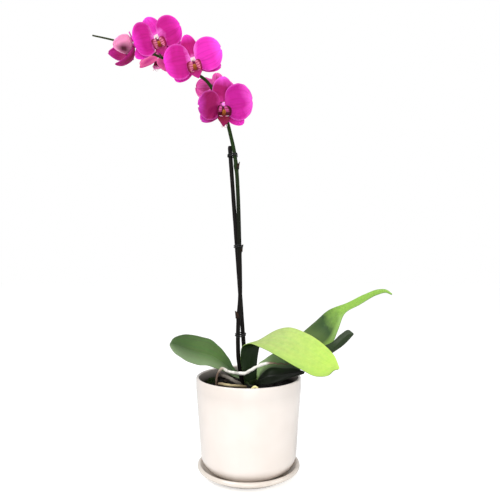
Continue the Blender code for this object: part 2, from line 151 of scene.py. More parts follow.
def pitch(size: float) -> float:
    """Return the texture scale that puts a pattern's features so many millimetres apart."""
    return 1 / (size * MM)


MARKS = ("along", "across", "face")     # what a mesh's points carry, for a finish to read
LOW, HIGH = 6, 7                        # a colour mix's sockets at factor 0 and at factor 1


@dataclass(frozen=True)
class Finish:
    """A named surface; a subclass paints it."""

    name: str

    def material(self) -> bpy.types.Material:
        """Return the finish's material, made on first use."""
        made = bpy.data.materials.get(self.name)
        if made:
            return made
        made = bpy.data.materials.new(self.name)
        made.use_nodes = True
        self.paint(partial(add_node, made.node_tree), made.node_tree.nodes["Principled BSDF"])
        return made

    def paint(self, add: NodeAdder, shader: bpy.types.Node) -> None:
        """Add the finish's nodes.

        Args:
            add: add_node() for the material's own node tree.
            shader: Its Principled BSDF.
        """
        raise NotImplementedError


@dataclass(frozen=True)
class GlazedStoneware(Finish):
    """Slip-cast stoneware under a thick clear white glaze.

    The fired glaze pools a little, so the eye sees a warm white with soft wide
    ripples in an otherwise mirror-like skin.
    """

    body: str = "EBE2DB"
    pooled: str = "E3D8CF"
    # Painted shade: the dark colour that the shade mark mixes in, inside the pot and a little round the
    # outside of its collar.
    painted_shade: str = "16140C"
    ripple_mm: float = 16.0
    ripple_depth_mm: float = 1.2

    def paint(self, add: NodeAdder, shader: bpy.types.Node) -> None:
        """Warm white clouds, a very low ripple, a clear coat, and painted shade where the mesh's shade mark
        is set.
        """
        place = add("TexCoord").outputs["Object"]
        cloud = add("TexNoise", {"Vector": place, "Scale": pitch(4 * self.ripple_mm), "Detail": 3.0})
        tint = add("ValToRGB", {"Fac": cloud}, stops=((0.35, self.body), (0.75, self.pooled)))
        ripple = add("TexNoise", {"Vector": place, "Scale": pitch(self.ripple_mm), "Detail": 1.0})
        bump = add("Bump", {"Height": ripple, "Strength": 0.05, "Distance": self.ripple_depth_mm * MM})
        # Painted shade: where the mark is set, the dark colour stands in for shade.
        shade = add("Attribute", attribute_name="shade").outputs["Fac"]
        glaze_with_painted_shade = add("Mix", {"Factor": shade, LOW: tint, HIGH: linear(self.painted_shade)}, data_type="RGBA")
        feed(shader, {"Base Color": glaze_with_painted_shade, "Normal": bump, "Coat Normal": bump, "Roughness": 0.3,
                      "IOR": 1.52, "Coat Weight": 1.0, "Coat Roughness": 0.05})


@dataclass(frozen=True)
class ShreddedBark(Finish):
    """Composted pine bark, broken and damp: dark, rough and different from chip to chip."""

    dark: str = "0A0705"
    mid: str = "1C130D"
    pale: str = "4A3828"
    grain_mm: float = 1.6
    relief_mm: float = 0.5

    def paint(self, add: NodeAdder, shader: bpy.types.Node) -> None:
        """A shade for each chip, crossed by fine grain."""
        place = add("TexCoord").outputs["Object"]
        shade = add("Attribute", attribute_name="shade").outputs["Fac"]
        grain = add("TexNoise", {"Vector": place, "Scale": pitch(self.grain_mm), "Detail": 6.0,
                                 "Roughness": 0.65})
        level = add("Math", {0: shade, 1: grain}, operation="MULTIPLY")
        tint = add("ValToRGB", {"Fac": level}, stops=((0.08, self.dark), (0.7, self.pale), (0.34, self.mid)))
        bump = add("Bump", {"Height": grain, "Strength": 0.6, "Distance": self.relief_mm * MM})
        feed(shader, {"Base Color": tint, "Normal": bump, "Roughness": 0.9})


@dataclass(frozen=True)
class LeafSkin(Finish):
    """A thick waxy leaf: a satin green skin with faint lengthwise veins, with light and shade painted into
    its colour along it and towards one side.
    """

    base: str = "33452A"
    middle: str = "5B7645"
    tip: str = "688250"
    # under: the underside; on some leaves it is painted near black as shade.
    under: str = "56663F"
    middle_place: float = 0.35
    tip_place: float = 0.85
    # edge: painted light and shade in a band along one side, a painted sheen on some leaves and painted shade
    # on others; it grows across the leaf between two places up to its share.
    edge: str = "809568"
    painted_side_from: float = 0.6
    painted_side_to: float = 1.0
    painted_side_share: float = 0.3
    vein_count: float = 9.0
    vein_depth_mm: float = 0.5
    drift_mm: float = 24.0
    drift: float = 0.22
    cloud_mm: float = 6.0
    streaks: float = 0.12
    mottle: float = 0.12
    sheen: float = 0.25

    def paint(self, add: NodeAdder, shader: bpy.types.Node) -> None:
        """Green that changes along the leaf and towards one side, both carrying painted light and shade,
        streaked along its veins.
        """
        place = add("TexCoord").outputs["Object"]
        along, across, face = (add("Attribute", attribute_name=mark).outputs["Fac"] for mark in MARKS)
        mottle = add("TexNoise", {"Vector": place, "Scale": pitch(self.drift_mm), "Detail": 7.0})
        shifted = add("Math", {0: mottle, 1: self.drift, 2: along}, operation="MULTIPLY_ADD")
        shift = self.drift / 2
        top = add("ValToRGB", {"Fac": shifted},
                       stops=((shift, self.base), (self.tip_place + shift, self.tip),
                              (self.middle_place + shift, self.middle)))
        # The veins run from base to tip, so they are noise that is fine across and long along.
        lanes = add("CombineXYZ", {"X": across, "Y": along})
        drawn = add("Mapping", {"Vector": lanes, "Scale": (self.vein_count, 1.4, 1.0)})
        veins = add("TexNoise", {"Vector": drawn, "Scale": 1.0, "Detail": 3.0, "Roughness": 0.6})
        clouds = add("TexNoise", {"Vector": place, "Scale": pitch(self.cloud_mm), "Detail": 5.0,
                                  "Roughness": 0.7})
        for share, pattern in ((self.streaks, veins.outputs["Color"]), (self.mottle, clouds)):
            top = add("Mix", {"Factor": share, LOW: top, HIGH: pattern}, data_type="RGBA",
                      blend_type="OVERLAY")
        # Painted light and shade towards one side of the leaf.
        side = add("MapRange", {"Value": across, "From Min": self.painted_side_from, "From Max": self.painted_side_to,
                                "To Max": self.painted_side_share})
        painted_side_mix = add("Mix", {"Factor": side, LOW: top, HIGH: linear(self.edge)}, data_type="RGBA")
        both = add("Mix", {"Factor": face, LOW: linear(self.under), HIGH: painted_side_mix}, data_type="RGBA")
        bump = add("Bump", {"Height": veins, "Strength": 0.15, "Distance": self.vein_depth_mm * MM})
        feed(shader, {"Base Color": both, "Normal": bump, "Roughness": 0.45, "Specular IOR Level": 0.2,
                      "Coat Weight": self.sheen, "Coat Roughness": 0.28, "Subsurface Weight": 0.08,
                      "Subsurface Radius": (0.4, 1.0, 0.2), "Subsurface Scale": 1.5 * MM})


@dataclass(frozen=True)
class PetalTissue(Finish):
    """Petal tissue: velvety magenta with faint fanning veins, a streaked back, and a lilac painted highlight
    along its rim.

    Each cell is a tiny dome, which keeps the colour deep and the gloss low.
    """

    throat: str = "EC70D4"
    middle: str = "C01488"
    outer: str = "EE34C8"
    # rim and back rim: painted highlights along the blade's edges, on the front and on the back.
    rim: str = "FF78F0"
    vein: str = "96085E"
    back: str = "E86CC0"
    back_heart: str = "D84CA8"
    back_rim_highlight: str = "F0A0DC"
    throat_to: float = 0.19
    middle_from: float = 0.31
    middle_to: float = 0.6
    heart_place: float = 0.3
    heart_side: float = 0.0
    vein_count: float = 8.0
    vein_share: float = 0.4
    vein_depth_mm: float = 0.5
    cloud_mm: float = 14.0
    drift: float = 0.4

    def paint(self, add: NodeAdder, shader: bpy.types.Node) -> None:
        """Colour from the throat outwards, veins along the blade and a paler back."""
        place = add("TexCoord").outputs["Object"]
        along, across, face = (add("Attribute", attribute_name=mark).outputs["Fac"] for mark in MARKS)
        mottle = add("TexNoise", {"Vector": place, "Scale": pitch(self.cloud_mm), "Detail": 3.0})
        shifted = add("Math", {0: mottle, 1: self.drift, 2: along}, operation="MULTIPLY_ADD")
        front = add("ValToRGB", {"Fac": shifted},
                         stops=((self.throat_to, self.throat), (1.0, self.outer),
                                (self.middle_from, self.middle), (self.middle_to, self.middle)))
        # Painted highlight: a pale band along the blade's edges.
        edge = add("Math", {0: across}, operation="ABSOLUTE")
        rim_highlight_band = add("MapRange", {"Value": edge, "From Min": 0.88, "To Max": 0.4})
        lanes = add("CombineXYZ", {"X": across, "Y": along})
        drawn = add("Mapping", {"Vector": lanes, "Scale": (self.vein_count, 0.9, 1.0)})
        veins = add("TexNoise", {"Vector": drawn, "Scale": 1.0, "Detail": 2.0, "Roughness": 0.55})
        vein_band = add("MapRange", {"Value": veins, "From Min": 0.48, "From Max": 0.72,
                                     "To Max": self.vein_share})
        # The heart of the back is darker, and fades along and across from its middle.
        fades = []
        for mark, middle, low, high in ((along, self.heart_place, 0.05, 0.4),
                                        (across, self.heart_side, 0.15, 0.85)):
            offset = add("Math", {0: mark, 1: middle}, operation="SUBTRACT")
            distance = add("Math", {0: offset}, operation="ABSOLUTE")
            fades.append(add("MapRange", {"Value": distance, "From Min": low, "From Max": high, "To Min": 1.0,
                                          "To Max": 0.0}))
        core = add("Math", {0: fades[0], 1: fades[1]}, operation="MULTIPLY")
        back = add("Mix", {"Factor": core, LOW: linear(self.back), HIGH: linear(self.back_heart)},
                   data_type="RGBA")
        faces = []
        for ground, rim, vein in ((back, self.back_rim_highlight, self.middle), (front, self.rim, self.vein)):
            for band, colour in ((rim_highlight_band, rim), (vein_band, vein)):
                ground = add("Mix", {"Factor": band, LOW: ground, HIGH: linear(colour)}, data_type="RGBA")
            faces.append(ground)
        both = add("Mix", {"Factor": face, LOW: faces[0], HIGH: faces[1]}, data_type="RGBA")
        bump = add("Bump", {"Height": veins, "Strength": 0.25, "Distance": self.vein_depth_mm * MM})
        feed(shader, {"Base Color": both, "Normal": bump, "Roughness": 0.6, "Specular IOR Level": 0.15,
                      "Subsurface Weight": 0.1, "Subsurface Radius": (1.0, 0.15, 0.6),
                      "Subsurface Scale": 1.0 * MM})


@dataclass(frozen=True)
class GradedTissue(Finish):
    """Smooth living tissue that changes colour along its length, with fine speckles."""

    stops: tuple[tuple[float, str], ...] = ((0.0, "3A4630"), (1.0, "3A4630"))
    roughness: float = 0.45
    speckle_mm: float = 1.5
    speckle: float = 0.10
    bump_mm: float = 0.12
    translucence: float = 0.0
    gloss: float = 0.3

    def paint(self, add: NodeAdder, shader: bpy.types.Node) -> None:
        """A colour ramp along the piece, speckled and very slightly uneven."""
        place = add("TexCoord").outputs["Object"]
        along = add("Attribute", attribute_name="along").outputs["Fac"]
        grain = add("TexNoise", {"Vector": place, "Scale": pitch(self.speckle_mm), "Detail": 4.0})
        first, *middle, last = self.stops
        tint = add("ValToRGB", {"Fac": along}, stops=(first, last, *middle))
        speckled = add("Mix", {"Factor": self.speckle, LOW: tint, HIGH: grain.outputs["Color"]},
                       data_type="RGBA", blend_type="OVERLAY")
        bump = add("Bump", {"Height": grain, "Strength": 0.4, "Distance": self.bump_mm * MM})
        feed(shader, {"Base Color": speckled, "Normal": bump, "Roughness": self.roughness,
                      "Specular IOR Level": self.gloss, "Subsurface Weight": self.translucence,
                      "Subsurface Radius": (1.0, 0.4, 0.5), "Subsurface Scale": 1.0 * MM})


@dataclass(frozen=True)
class StripedLobe(Finish):
    """The lip's tissue: crimson, with a pale inner face that carries fine crimson stripes."""

    outer: str = "8A0C40"
    inner: str = "E07CA0"
    stripe: str = "A02048"
    stripe_scale: float = 0.78125
    inner_share: float = 0.55
    inner_side: float = 1.0

    def paint(self, add: NodeAdder, shader: bpy.types.Node) -> None:
        """Stripes along the lobe on its inner face, fading to solid crimson at the edge."""
        along, across, face = (add("Attribute", attribute_name=mark).outputs["Fac"] for mark in MARKS)
        lanes = add("CombineXYZ", {"X": across, "Y": along})
        wave = add("TexWave", {"Vector": lanes, "Scale": self.stripe_scale, "Distortion": 1.6, "Detail": 2.0})
        band = add("MapRange", {"Value": wave.outputs["Fac"], "From Min": 0.55, "From Max": 0.8,
                                "To Max": 0.7})
        striped = add("Mix", {"Factor": band, LOW: linear(self.inner), HIGH: linear(self.stripe)},
                      data_type="RGBA")
        spread = add("MapRange", {"Value": along, "From Min": self.inner_share * 0.75,
                                  "From Max": self.inner_share * 1.25})
        below = add("MapRange", {"Value": across, "From Min": self.inner_side - 0.3,
                                 "From Max": self.inner_side})
        solid = add("Math", {0: spread, 1: below}, operation="MAXIMUM")
        inside = add("Mix", {"Factor": solid, LOW: striped, HIGH: linear(self.outer)}, data_type="RGBA")
        both = add("Mix", {"Factor": face, LOW: linear(self.outer), HIGH: inside}, data_type="RGBA")
        feed(shader, {"Base Color": both, "Roughness": 0.5, "Specular IOR Level": 0.2})


@dataclass(frozen=True)
class DyedBamboo(Finish):
    """A split bamboo stick, dyed dark: matt, with long fine fibres that catch a little light."""

    dark: str = "090808"
    pale: str = "1A1616"
    fibre_mm: float = 0.5
    fibre_stretch: float = 20.0
    relief_mm: float = 0.15

    def paint(self, add: NodeAdder, shader: bpy.types.Node) -> None:
        """Fibres along the stick, in colour and in relief."""
        place = add("TexCoord").outputs["Object"]
        stretched = add("Mapping", {"Vector": place, "Scale": (1.0, 1.0, 1 / self.fibre_stretch)})
        fibre = add("TexNoise", {"Vector": stretched, "Scale": pitch(self.fibre_mm), "Detail": 3.0})
        tint = add("ValToRGB", {"Fac": fibre}, stops=((0.35, self.dark), (0.7, self.pale)))
        bump = add("Bump", {"Height": fibre, "Strength": 0.5, "Distance": self.relief_mm * MM})
        feed(shader, {"Base Color": tint, "Normal": bump, "Roughness": 0.62, "Specular IOR Level": 0.1})


@dataclass(frozen=True)
class PlasticCoatedWire(Finish):
    """PVC drawn over soft steel wire: near black, with a dull plastic shine."""

    colour: str = "0E0E0F"
    rub_mm: float = 2.0

    def paint(self, add: NodeAdder, shader: bpy.types.Node) -> None:
        """Dull black, rubbed a little uneven."""
        place = add("TexCoord").outputs["Object"]
        rub = add("TexNoise", {"Vector": place, "Scale": pitch(self.rub_mm)})
        rough = add("MapRange", {"Value": rub, "To Min": 0.3, "To Max": 0.55})
        feed(shader, {"Roughness": rough, "Base Color": linear(self.colour), "Specular IOR Level": 0.3})


@dataclass(frozen=True)
class StudioPaper(Finish):
    """Seamless white paper, lit from behind until only a shadow of contact shows on it."""

    colour: str = "FAFAFA"
    glow: float = 0.45
    tone_scale: float = 3.0

    def paint(self, add: NodeAdder, shader: bpy.types.Node) -> None:
        """Near white, almost even, with a glow that only the camera sees."""
        ray = add("LightPath")
        glow = add("Math", {0: ray.outputs["Is Camera Ray"], 1: self.glow}, operation="MULTIPLY")
        place = add("TexCoord").outputs["Object"]
        tone = add("TexNoise", {"Vector": place, "Scale": self.tone_scale})
        rough = add("MapRange", {"Value": tone, "To Min": 0.22, "To Max": 0.28})
        feed(shader, {"Emission Strength": glow, "Emission Color": linear("FFFFFF"), "Roughness": rough,
                      "Base Color": linear(self.colour)})


# ---------------------------------------------------------------------------
# Shapes
# ---------------------------------------------------------------------------


@dataclass
class Shape:
    """A closed mesh in the making.

    Attributes:
        points: Millimetre points, one a row.
        faces: The corner numbers of each face.
        marks: Values that the points carry for a finish to read.
    """

    points: Array
    faces: list[tuple[int, ...]]
    marks: dict[str, Array] = field(default_factory=dict)

    def moved(self, matrix: Matrix, centre: Vector) -> "Shape":
        """Return the shape turned by a 3x3 matrix and then moved to a centre in millimetres."""
        points = self.points @ np.array(matrix).T + np.array(centre)
        return Shape(points, self.faces, self.marks)

    @staticmethod
    def join(shapes: Sequence["Shape"]) -> "Shape":
        """Join shapes.

        Args:
            shapes: The shapes, in order.

        Returns:
            One shape; a mark that a shape lacks is 0 there.
        """
        faces: list[tuple[int, ...]] = []
        start = 0
        for shape in shapes:
            faces += [tuple(start + corner for corner in face) for face in shape.faces]
            start += len(shape.points)
        names = sorted({name for shape in shapes for name in shape.marks})
        marks = {name: np.concatenate([shape.marks.get(name, np.zeros(len(shape.points)))
                                       for shape in shapes]) for name in names}
        return Shape(np.concatenate([shape.points for shape in shapes]), faces, marks)


def smooth_curve(points: Sequence[Sequence[float]]) -> Curve:
    """Return a curve of 0..1 that runs smoothly through the given points.

    Args:
        points: The points, in order.

    Returns:
        A function from an array of places to an array of points, one axis more.
    """
    knots = np.array(points, dtype=float)
    steps = np.linalg.norm(np.diff(knots, axis=0), axis=1)
    places = np.concatenate([[0.0], np.cumsum(steps)]) / steps.sum()
    slopes = np.gradient(knots, places, axis=0)

    def at(place: Array) -> Array:
        """Return the curve's points at the given places."""
        place = np.clip(place, 0.0, 1.0)
        i = np.clip(np.searchsorted(places, place) - 1, 0, len(knots) - 2)
        span = (places[i + 1] - places[i])[..., None]
        u = (place - places[i])[..., None] / span
        start = knots[i] * (1 + 2 * u) * (1 - u) ** 2 + slopes[i] * span * u * (1 - u) ** 2
        end = knots[i + 1] * u * u * (3 - 2 * u) - slopes[i + 1] * span * u * u * (1 - u)
        return start + end

    return at


def smooth_step(value: Array, low: float, high: float) -> Array:
    """Return 0 below low, 1 above high and a smooth rise between them."""
    share = np.clip((value - low) / (high - low), 0.0, 1.0)
    return share * share * (3 - 2 * share)


def ripple(*places: Array, seed: int, waves: int = 4) -> Array:
    """Return a smooth unevenness of about -1..1 over one or more coordinates.

    Args:
        *places: Coordinates in the ripple's own wavelength, of shapes that broadcast.
        seed: Picks the waves' directions and phases.
        waves: How many waves are added up.

    Returns:
        The unevenness, in the shape that the coordinates broadcast to.
    """
    chance = np.random.default_rng(seed)
    total = 0.0
    for _ in range(waves):
        pull = chance.normal(0.0, 1.0, len(places))
        phase = chance.uniform(0.0, 2 * math.pi)
        total = total + np.sin(sum(p * k for p, k in zip(places, pull)) * 2 * math.pi + phase)
    return total / waves ** 0.5 / 1.4


def sheet(surface: Callable[[Array, Array], Array], rows: int, columns: int, thickness: float,
          rim: float = 0.3, up: Point = (0.0, 0.0, 1.0), probe: slice = slice(None)) -> Shape:
    """Make a thin closed sheet that thins towards its edges and tip.

    Args:
        surface: The sheet's middle; takes places 0..1 along it and -1..1 across it.
        rows: Quads along the sheet.
        columns: Quads across it.
        thickness: Its full thickness in the middle, in millimetres.
        rim: The share of the thickness that is left at the edges.
        up: A direction that the upper face looks towards.
        probe: The rows that decide which face is the upper one.

    Returns:
        The sheet, marked with along, across and face (1 on the upper face).
    """
    s = np.linspace(0, 1, rows + 1)[:, None] + np.zeros((1, columns + 1))
    q = np.linspace(-1, 1, columns + 1)[None, :] + np.zeros((rows + 1, 1))
    middle = surface(s, q)
    normal = np.cross(np.gradient(middle, axis=0), np.gradient(middle, axis=1))
    normal /= np.linalg.norm(normal, axis=2, keepdims=True)
    if (normal[probe] @ np.array(up)).mean() < 0:
        normal = -normal
    fullness = np.sqrt((1 - np.abs(q) ** 5) * (1 - s ** 24))
    half = (thickness / 2 * (rim + (1 - rim) * fullness))[..., None]
    points = np.concatenate([(middle + normal * half).reshape(-1, 3),
                             (middle - normal * half).reshape(-1, 3)])
    width, layer = columns + 1, (rows + 1) * (columns + 1)
    faces: list[tuple[int, ...]] = []
    for i in range(rows):
        for a in range(i * width, i * width + columns):
            quad = (a, a + width, a + width + 1, a + 1)
            faces.append(quad)
            faces.append(tuple(corner + layer for corner in reversed(quad)))
    edge = [(i, 0) for i in range(rows)] + [(rows, j) for j in range(columns)]
    edge += [(i, columns) for i in range(rows, 0, -1)] + [(0, j) for j in range(columns, 0, -1)]
    corners = [i * width + j for i, j in edge]
    faces += [(a, b, b + layer, a + layer) for a, b in zip(corners, corners[1:] + corners[:1])]
    marks = {"along": np.tile(s.ravel(), 2), "across": np.tile(q.ravel(), 2),
             "face": np.repeat([1.0, 0.0], layer)}
    return Shape(points, faces, marks)


def tube(route: Sequence[Sequence[float]] | Array, radius: Callable[[Array, Array], Array] | float,
         rings: int, sides: int, smooth: bool = True) -> Shape:
    """Sweep a round section with domed ends along a route.

    Args:
        route: The points that the tube runs through.
        radius: Its radius, or a function of places 0..1 (rings,) and centres (rings, 3).
        rings: Sections along the route, at least 2.
        sides: Points round each section.
        smooth: True for a smooth curve through the points, False for the points themselves.

    Returns:
        The tube, marked with along (0 at the route's start) and across (-1..1 round it).
    """
    places = np.linspace(0, 1, rings)
    centres = smooth_curve(route)(places) if smooth else np.array(route, dtype=float)
    places = np.linspace(0, 1, len(centres))
    sizes = np.full(len(centres), radius) if isinstance(radius, (int, float)) else radius(places, centres)
    ahead = np.gradient(centres, axis=0)
    ahead /= np.linalg.norm(ahead, axis=1, keepdims=True)
    dome = np.radians((75, 50, 25))
    front = [(centres[0] - ahead[0] * sizes[0] * math.sin(a), sizes[0] * math.cos(a), 0) for a in dome]
    back = [(centres[-1] + ahead[-1] * sizes[-1] * math.sin(a), sizes[-1] * math.cos(a), -1)
            for a in dome[::-1]]
    sections = front + [(c, r, i) for i, (c, r) in enumerate(zip(centres, sizes))] + back
    turn = np.linspace(0, 2 * math.pi, sides, endpoint=False)
    side = np.array((0.0, 1.0, 0.0)) if abs(ahead[0][1]) < 0.9 else np.array((1.0, 0.0, 0.0))
    points, along = [centres[0] - ahead[0] * sizes[0]], [0.0]
    for centre, size, i in sections:
        side = side - ahead[i] * (side @ ahead[i])
        side /= np.linalg.norm(side)
        other = np.cross(ahead[i], side)
        points += list(centre + size * (np.cos(turn)[:, None] * side + np.sin(turn)[:, None] * other))
        along += [places[i]] * sides
    points.append(centres[-1] + ahead[-1] * sizes[-1])
    along.append(1.0)
    last = len(points) - 1
    faces: list[tuple[int, ...]] = []
    for k in range(sides):
        j = (k + 1) % sides
        faces.append((0, 1 + j, 1 + k))
        faces.append((last, last - sides + k, last - sides + j))
        for i in range(len(sections) - 1):
            low, high = 1 + i * sides, 1 + (i + 1) * sides
            faces.append((low + k, low + j, high + j, high + k))
    across = np.concatenate([[0.0], np.tile(np.linspace(-1, 1, sides), len(sections)), [0.0]])
    return Shape(np.array(points), faces, {"along": np.array(along), "across": across})


def round_axis(centre: Sequence[float], radius: Array | float, angle: Array, height: Array) -> Array:
    """Place points round an upright axis.

    Args:
        centre: Where the axis is, x first.
        radius: Their distances from it.
        angle: Their angles about it, in radians.
        height: Their heights.

    Returns:
        The points, one axis more than the places.
    """
    return np.stack(np.broadcast_arrays(centre[0] + radius * np.cos(angle),
                                        centre[1] + radius * np.sin(angle), height), axis=-1)


def arc(centre: Pair, radii: Pair, start: float, stop: float, steps: int) -> list[Pair]:
    """Draw an ellipse arc.

    Args:
        centre: Its centre, as radius and height.
        radii: Its two half axes.
        start: The first angle, in degrees.
        stop: The last angle, in degrees.
        steps: How many steps there are between them.

    Returns:
        Points (radius, height), both ends included.
    """
    angles = np.radians(np.linspace(start, stop, steps + 1))
    return [(centre[0] + radii[0] * math.cos(a), centre[1] + radii[1] * math.sin(a)) for a in angles]


def turned(profile: Sequence[Pair], segments: int, centre: Pair = (0.0, 0.0)) -> Shape:
    """Spin a profile of (radius, height) about a vertical axis.

    A profile that starts and ends on the axis makes a solid; any other one is
    closed on itself and makes a ring.

    Args:
        profile: Points (radius, height).
        segments: Points round the axis.
        centre: Where the axis is, x and y.

    Returns:
        The turned shape, marked with along, from the profile's start to its end.
    """
    turn = np.linspace(0, 2 * math.pi, segments, endpoint=False)
    points: list[Point] = []
    rows: list[list[int]] = []
    along: list[float] = []
    for number, (radius, height) in enumerate(profile):
        count = segments if radius > 0 else 1
        rows.append([len(points) + (i if radius > 0 else 0) for i in range(segments)])
        points += [(centre[0] + radius * math.cos(a), centre[1] + radius * math.sin(a), height)
                   for a in turn[:count]]
        along += [number / (len(profile) - 1)] * count
    pairs = list(zip(rows, rows[1:]))
    if profile[0][0] > 0:
        pairs.append((rows[-1], rows[0]))
    faces = []
    for lower, upper in pairs:
        for i in range(segments):
            j = (i + 1) % segments
            faces.append(tuple(dict.fromkeys((lower[i], lower[j], upper[j], upper[i]))))
    return Shape(np.array(points), faces, {"along": np.array(along)})


def make_piece(name: str, shape: Shape, finish: Finish, stands_for: Sequence[str] = (),
               sharp: float = 55.0) -> bpy.types.Object:
    """Make one visible piece, put it on the body and report it.

    Args:
        name: The piece's name.
        shape: Its mesh, in millimetres.
        finish: Its finish.
        stands_for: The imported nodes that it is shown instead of.
        sharp: Edges that turn by more than this many degrees stay crisp.

    Returns:
        The piece.
    """
    mesh = bpy.data.meshes.new(name)
    mesh.from_pydata((shape.points * MM).tolist(), [], shape.faces)
    for mark, values in shape.marks.items():
        layer = mesh.attributes.new(mark, "FLOAT", "POINT")
        layer.data.foreach_set("value", values.astype(np.float32))
    shell = bmesh.new()
    shell.from_mesh(mesh)
    bmesh.ops.recalc_face_normals(shell, faces=shell.faces)
    shell.to_mesh(mesh)
    shell.free()
    mesh.materials.append(finish.material())
    mesh.shade_smooth()
    mesh.set_sharp_from_angle(angle=math.radians(sharp))
    piece = place_object(name, mesh)
    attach(piece, BODY)
    if stands_for:
        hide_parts(*stands_for)
    LOG.info("%s: %d faces, %s, in place of %s (%.1f mm off its box)", name, len(mesh.polygons),
             finish.name, ", ".join(stands_for) or "nothing", misfit(shape, stands_for))
    return piece


def place_object(name: str, data: bpy.types.ID) -> bpy.types.Object:
    """Return a new object in the scene that shows a mesh, a light or a camera."""
    placed = bpy.data.objects.new(name, data)
    bpy.context.scene.collection.objects.link(placed)
    return placed


def misfit(shape: Shape, nodes: Sequence[str]) -> float:
    """Compare a shape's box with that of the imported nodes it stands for.

    Args:
        shape: The shape.
        nodes: The nodes' names.

    Returns:
        The largest distance between two like faces of the boxes, in millimetres.
    """
    if not nodes:
        return 0.0
    boxes = [np.array(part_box(node)) / MM for node in nodes]
    low = np.min([box[0] for box in boxes], axis=0)
    high = np.max([box[1] for box in boxes], axis=0)
    return float(max(np.abs(shape.points.min(0) - low).max(), np.abs(shape.points.max(0) - high).max()))


# ---------------------------------------------------------------------------
# Pot, saucer and growing medium
# ---------------------------------------------------------------------------

GAP = 0.3
GLAZE = GlazedStoneware("stoneware_white_glaze")
SAUCER_GLAZE = GlazedStoneware("stoneware_grey_white_glaze", body="E2D9CF", pooled="D8CCC0")
BARK = ShreddedBark("pine_bark_composted")
MOSS = GradedTissue("sphagnum_moss_living", stops=((0.0, "10180A"), (0.6, "22331A"), (1.0, "3C5227")),
                    roughness=0.9, speckle_mm=0.8, speckle=0.3)


@dataclass
class Saucer:
    """A shallow dish with a flat foot, a flared wall and a thick rounded edge."""

    foot_radius: float = 49.0
    floor_radius: float = 44.0
    floor: float = 3.5
    rim: Sequence[Pair] = (
        (49, 0), (52.5, 1.5), (58, 4.8), (62.5, 7.4), (65, 8.8), (65.8, 10.4), (65.5, 12.2), (64, 13.6),
        (62.2, 13.6), (60.8, 12.3), (56, 7.5), (50, 4.6), (44, 3.5))
    segments: int = 160

    def profile(self) -> list[Pair]:
        """Return the turned outline, from the middle of the foot round to the middle of the floor."""
        turn = [(float(r), float(z)) for r, z in smooth_curve(self.rim)(np.linspace(0, 1, 60))]
        return [(0.0, 0.0), (self.foot_radius - 4, 0.0), *turn, (self.floor_radius - 4, self.floor),
                (0.0, self.floor)]

    def build(self) -> None:
        """Make and dress the saucer."""
        make_piece("saucer_glazed", turned(self.profile(), self.segments), SAUCER_GLAZE,
                   ["saucer"])


@dataclass
class Pot:
    """A slightly flared cylinder with a wide round heel, a rounded lip and a drain hole."""

    foot: float = 3.8
    foot_radius: float = 34.0
    heel_radius: float = 61.5
    heel_height: float = 27.0
    inner_heel: Pair = (25.9, 18.2)
    rim_radius: float = 68.0
    collar: float = 14.0
    top: float = 123.4
    wall: float = 3.6
    floor: float = 8.8
    drain_radius: float = 7.0
    # Painted shade: how much the outside of the collar is darkened, and the two depths under the top between
    # which that grows; below the smaller depth the inside is in full painted shade.
    collar_shade: float = 0.13
    collar_shade_from: float = 34.0
    full_shade_depth: float = 3.0
    segments: int = 192

    def outer_radius(self, height: float) -> float:
        """Radius of the outside of the wall at a height."""
        rise = (height - self.heel_height) / (self.top - self.collar - self.heel_height)
        return self.heel_radius + (self.rim_radius - self.heel_radius) * min(rise, 1.0)

    def profile(self) -> list[Pair]:
        """Return the wall's outline, up the outside and down the inside."""
        lip = self.wall / 2
        heel = (self.heel_radius - self.foot_radius, self.heel_height - self.foot)
        collar = self.top - self.collar
        levels = np.linspace(self.heel_height, collar, 7)
        profile = [(self.drain_radius, self.foot + 0.6), (self.drain_radius + 0.6, self.foot)]
        profile += arc((self.foot_radius, self.heel_height), heel, -90, 0, 20)
        profile += [(self.outer_radius(z), float(z)) for z in levels[1:]]
        profile += arc((self.rim_radius - lip, self.top - lip), (lip, lip), 0, 180, 12)
        profile += [(self.outer_radius(z) - self.wall, float(z)) for z in levels[::-1]]
        return profile + self.inside(0.0) + [(self.drain_radius, self.floor)]

    def inside(self, inset: float) -> list[Pair]:
        """Return the rounding inside the heel, moved inwards by an inset."""
        centre = (self.heel_radius - self.wall - self.inner_heel[0], self.heel_height)
        return arc(centre, (self.inner_heel[0] - inset, self.inner_heel[1] - inset), -10, -90, 12)

    def build(self) -> None:
        """Make and dress the pot, with painted shade down its inside and a slight painted shade round the
        outside of its collar.
        """
        shape = turned(self.profile(), self.segments)
        spread, height = np.hypot(shape.points[:, 0], shape.points[:, 1]), shape.points[:, 2]
        outside = np.array([self.outer_radius(z) for z in height])
        # Painted shade: the inside darkens from just under the lip downwards, standing in for the shade in
        # the pot.
        below = 1 - smooth_step(height, self.top - self.full_shade_depth, self.top - 1)
        painted_shade = below * (spread < outside - self.wall / 2) * (height > self.heel_height)
        # thin: a slight painted shade round the outside of the collar, standing in for a darker band of
        # reflection.
        thin = self.collar_shade * below * smooth_step(height, self.top - self.collar_shade_from,
                                                     self.top - self.full_shade_depth)
        shape.marks["shade"] = np.maximum(painted_shade, thin)
        make_piece("pot_glazed", shape, GLAZE, ["pot"])


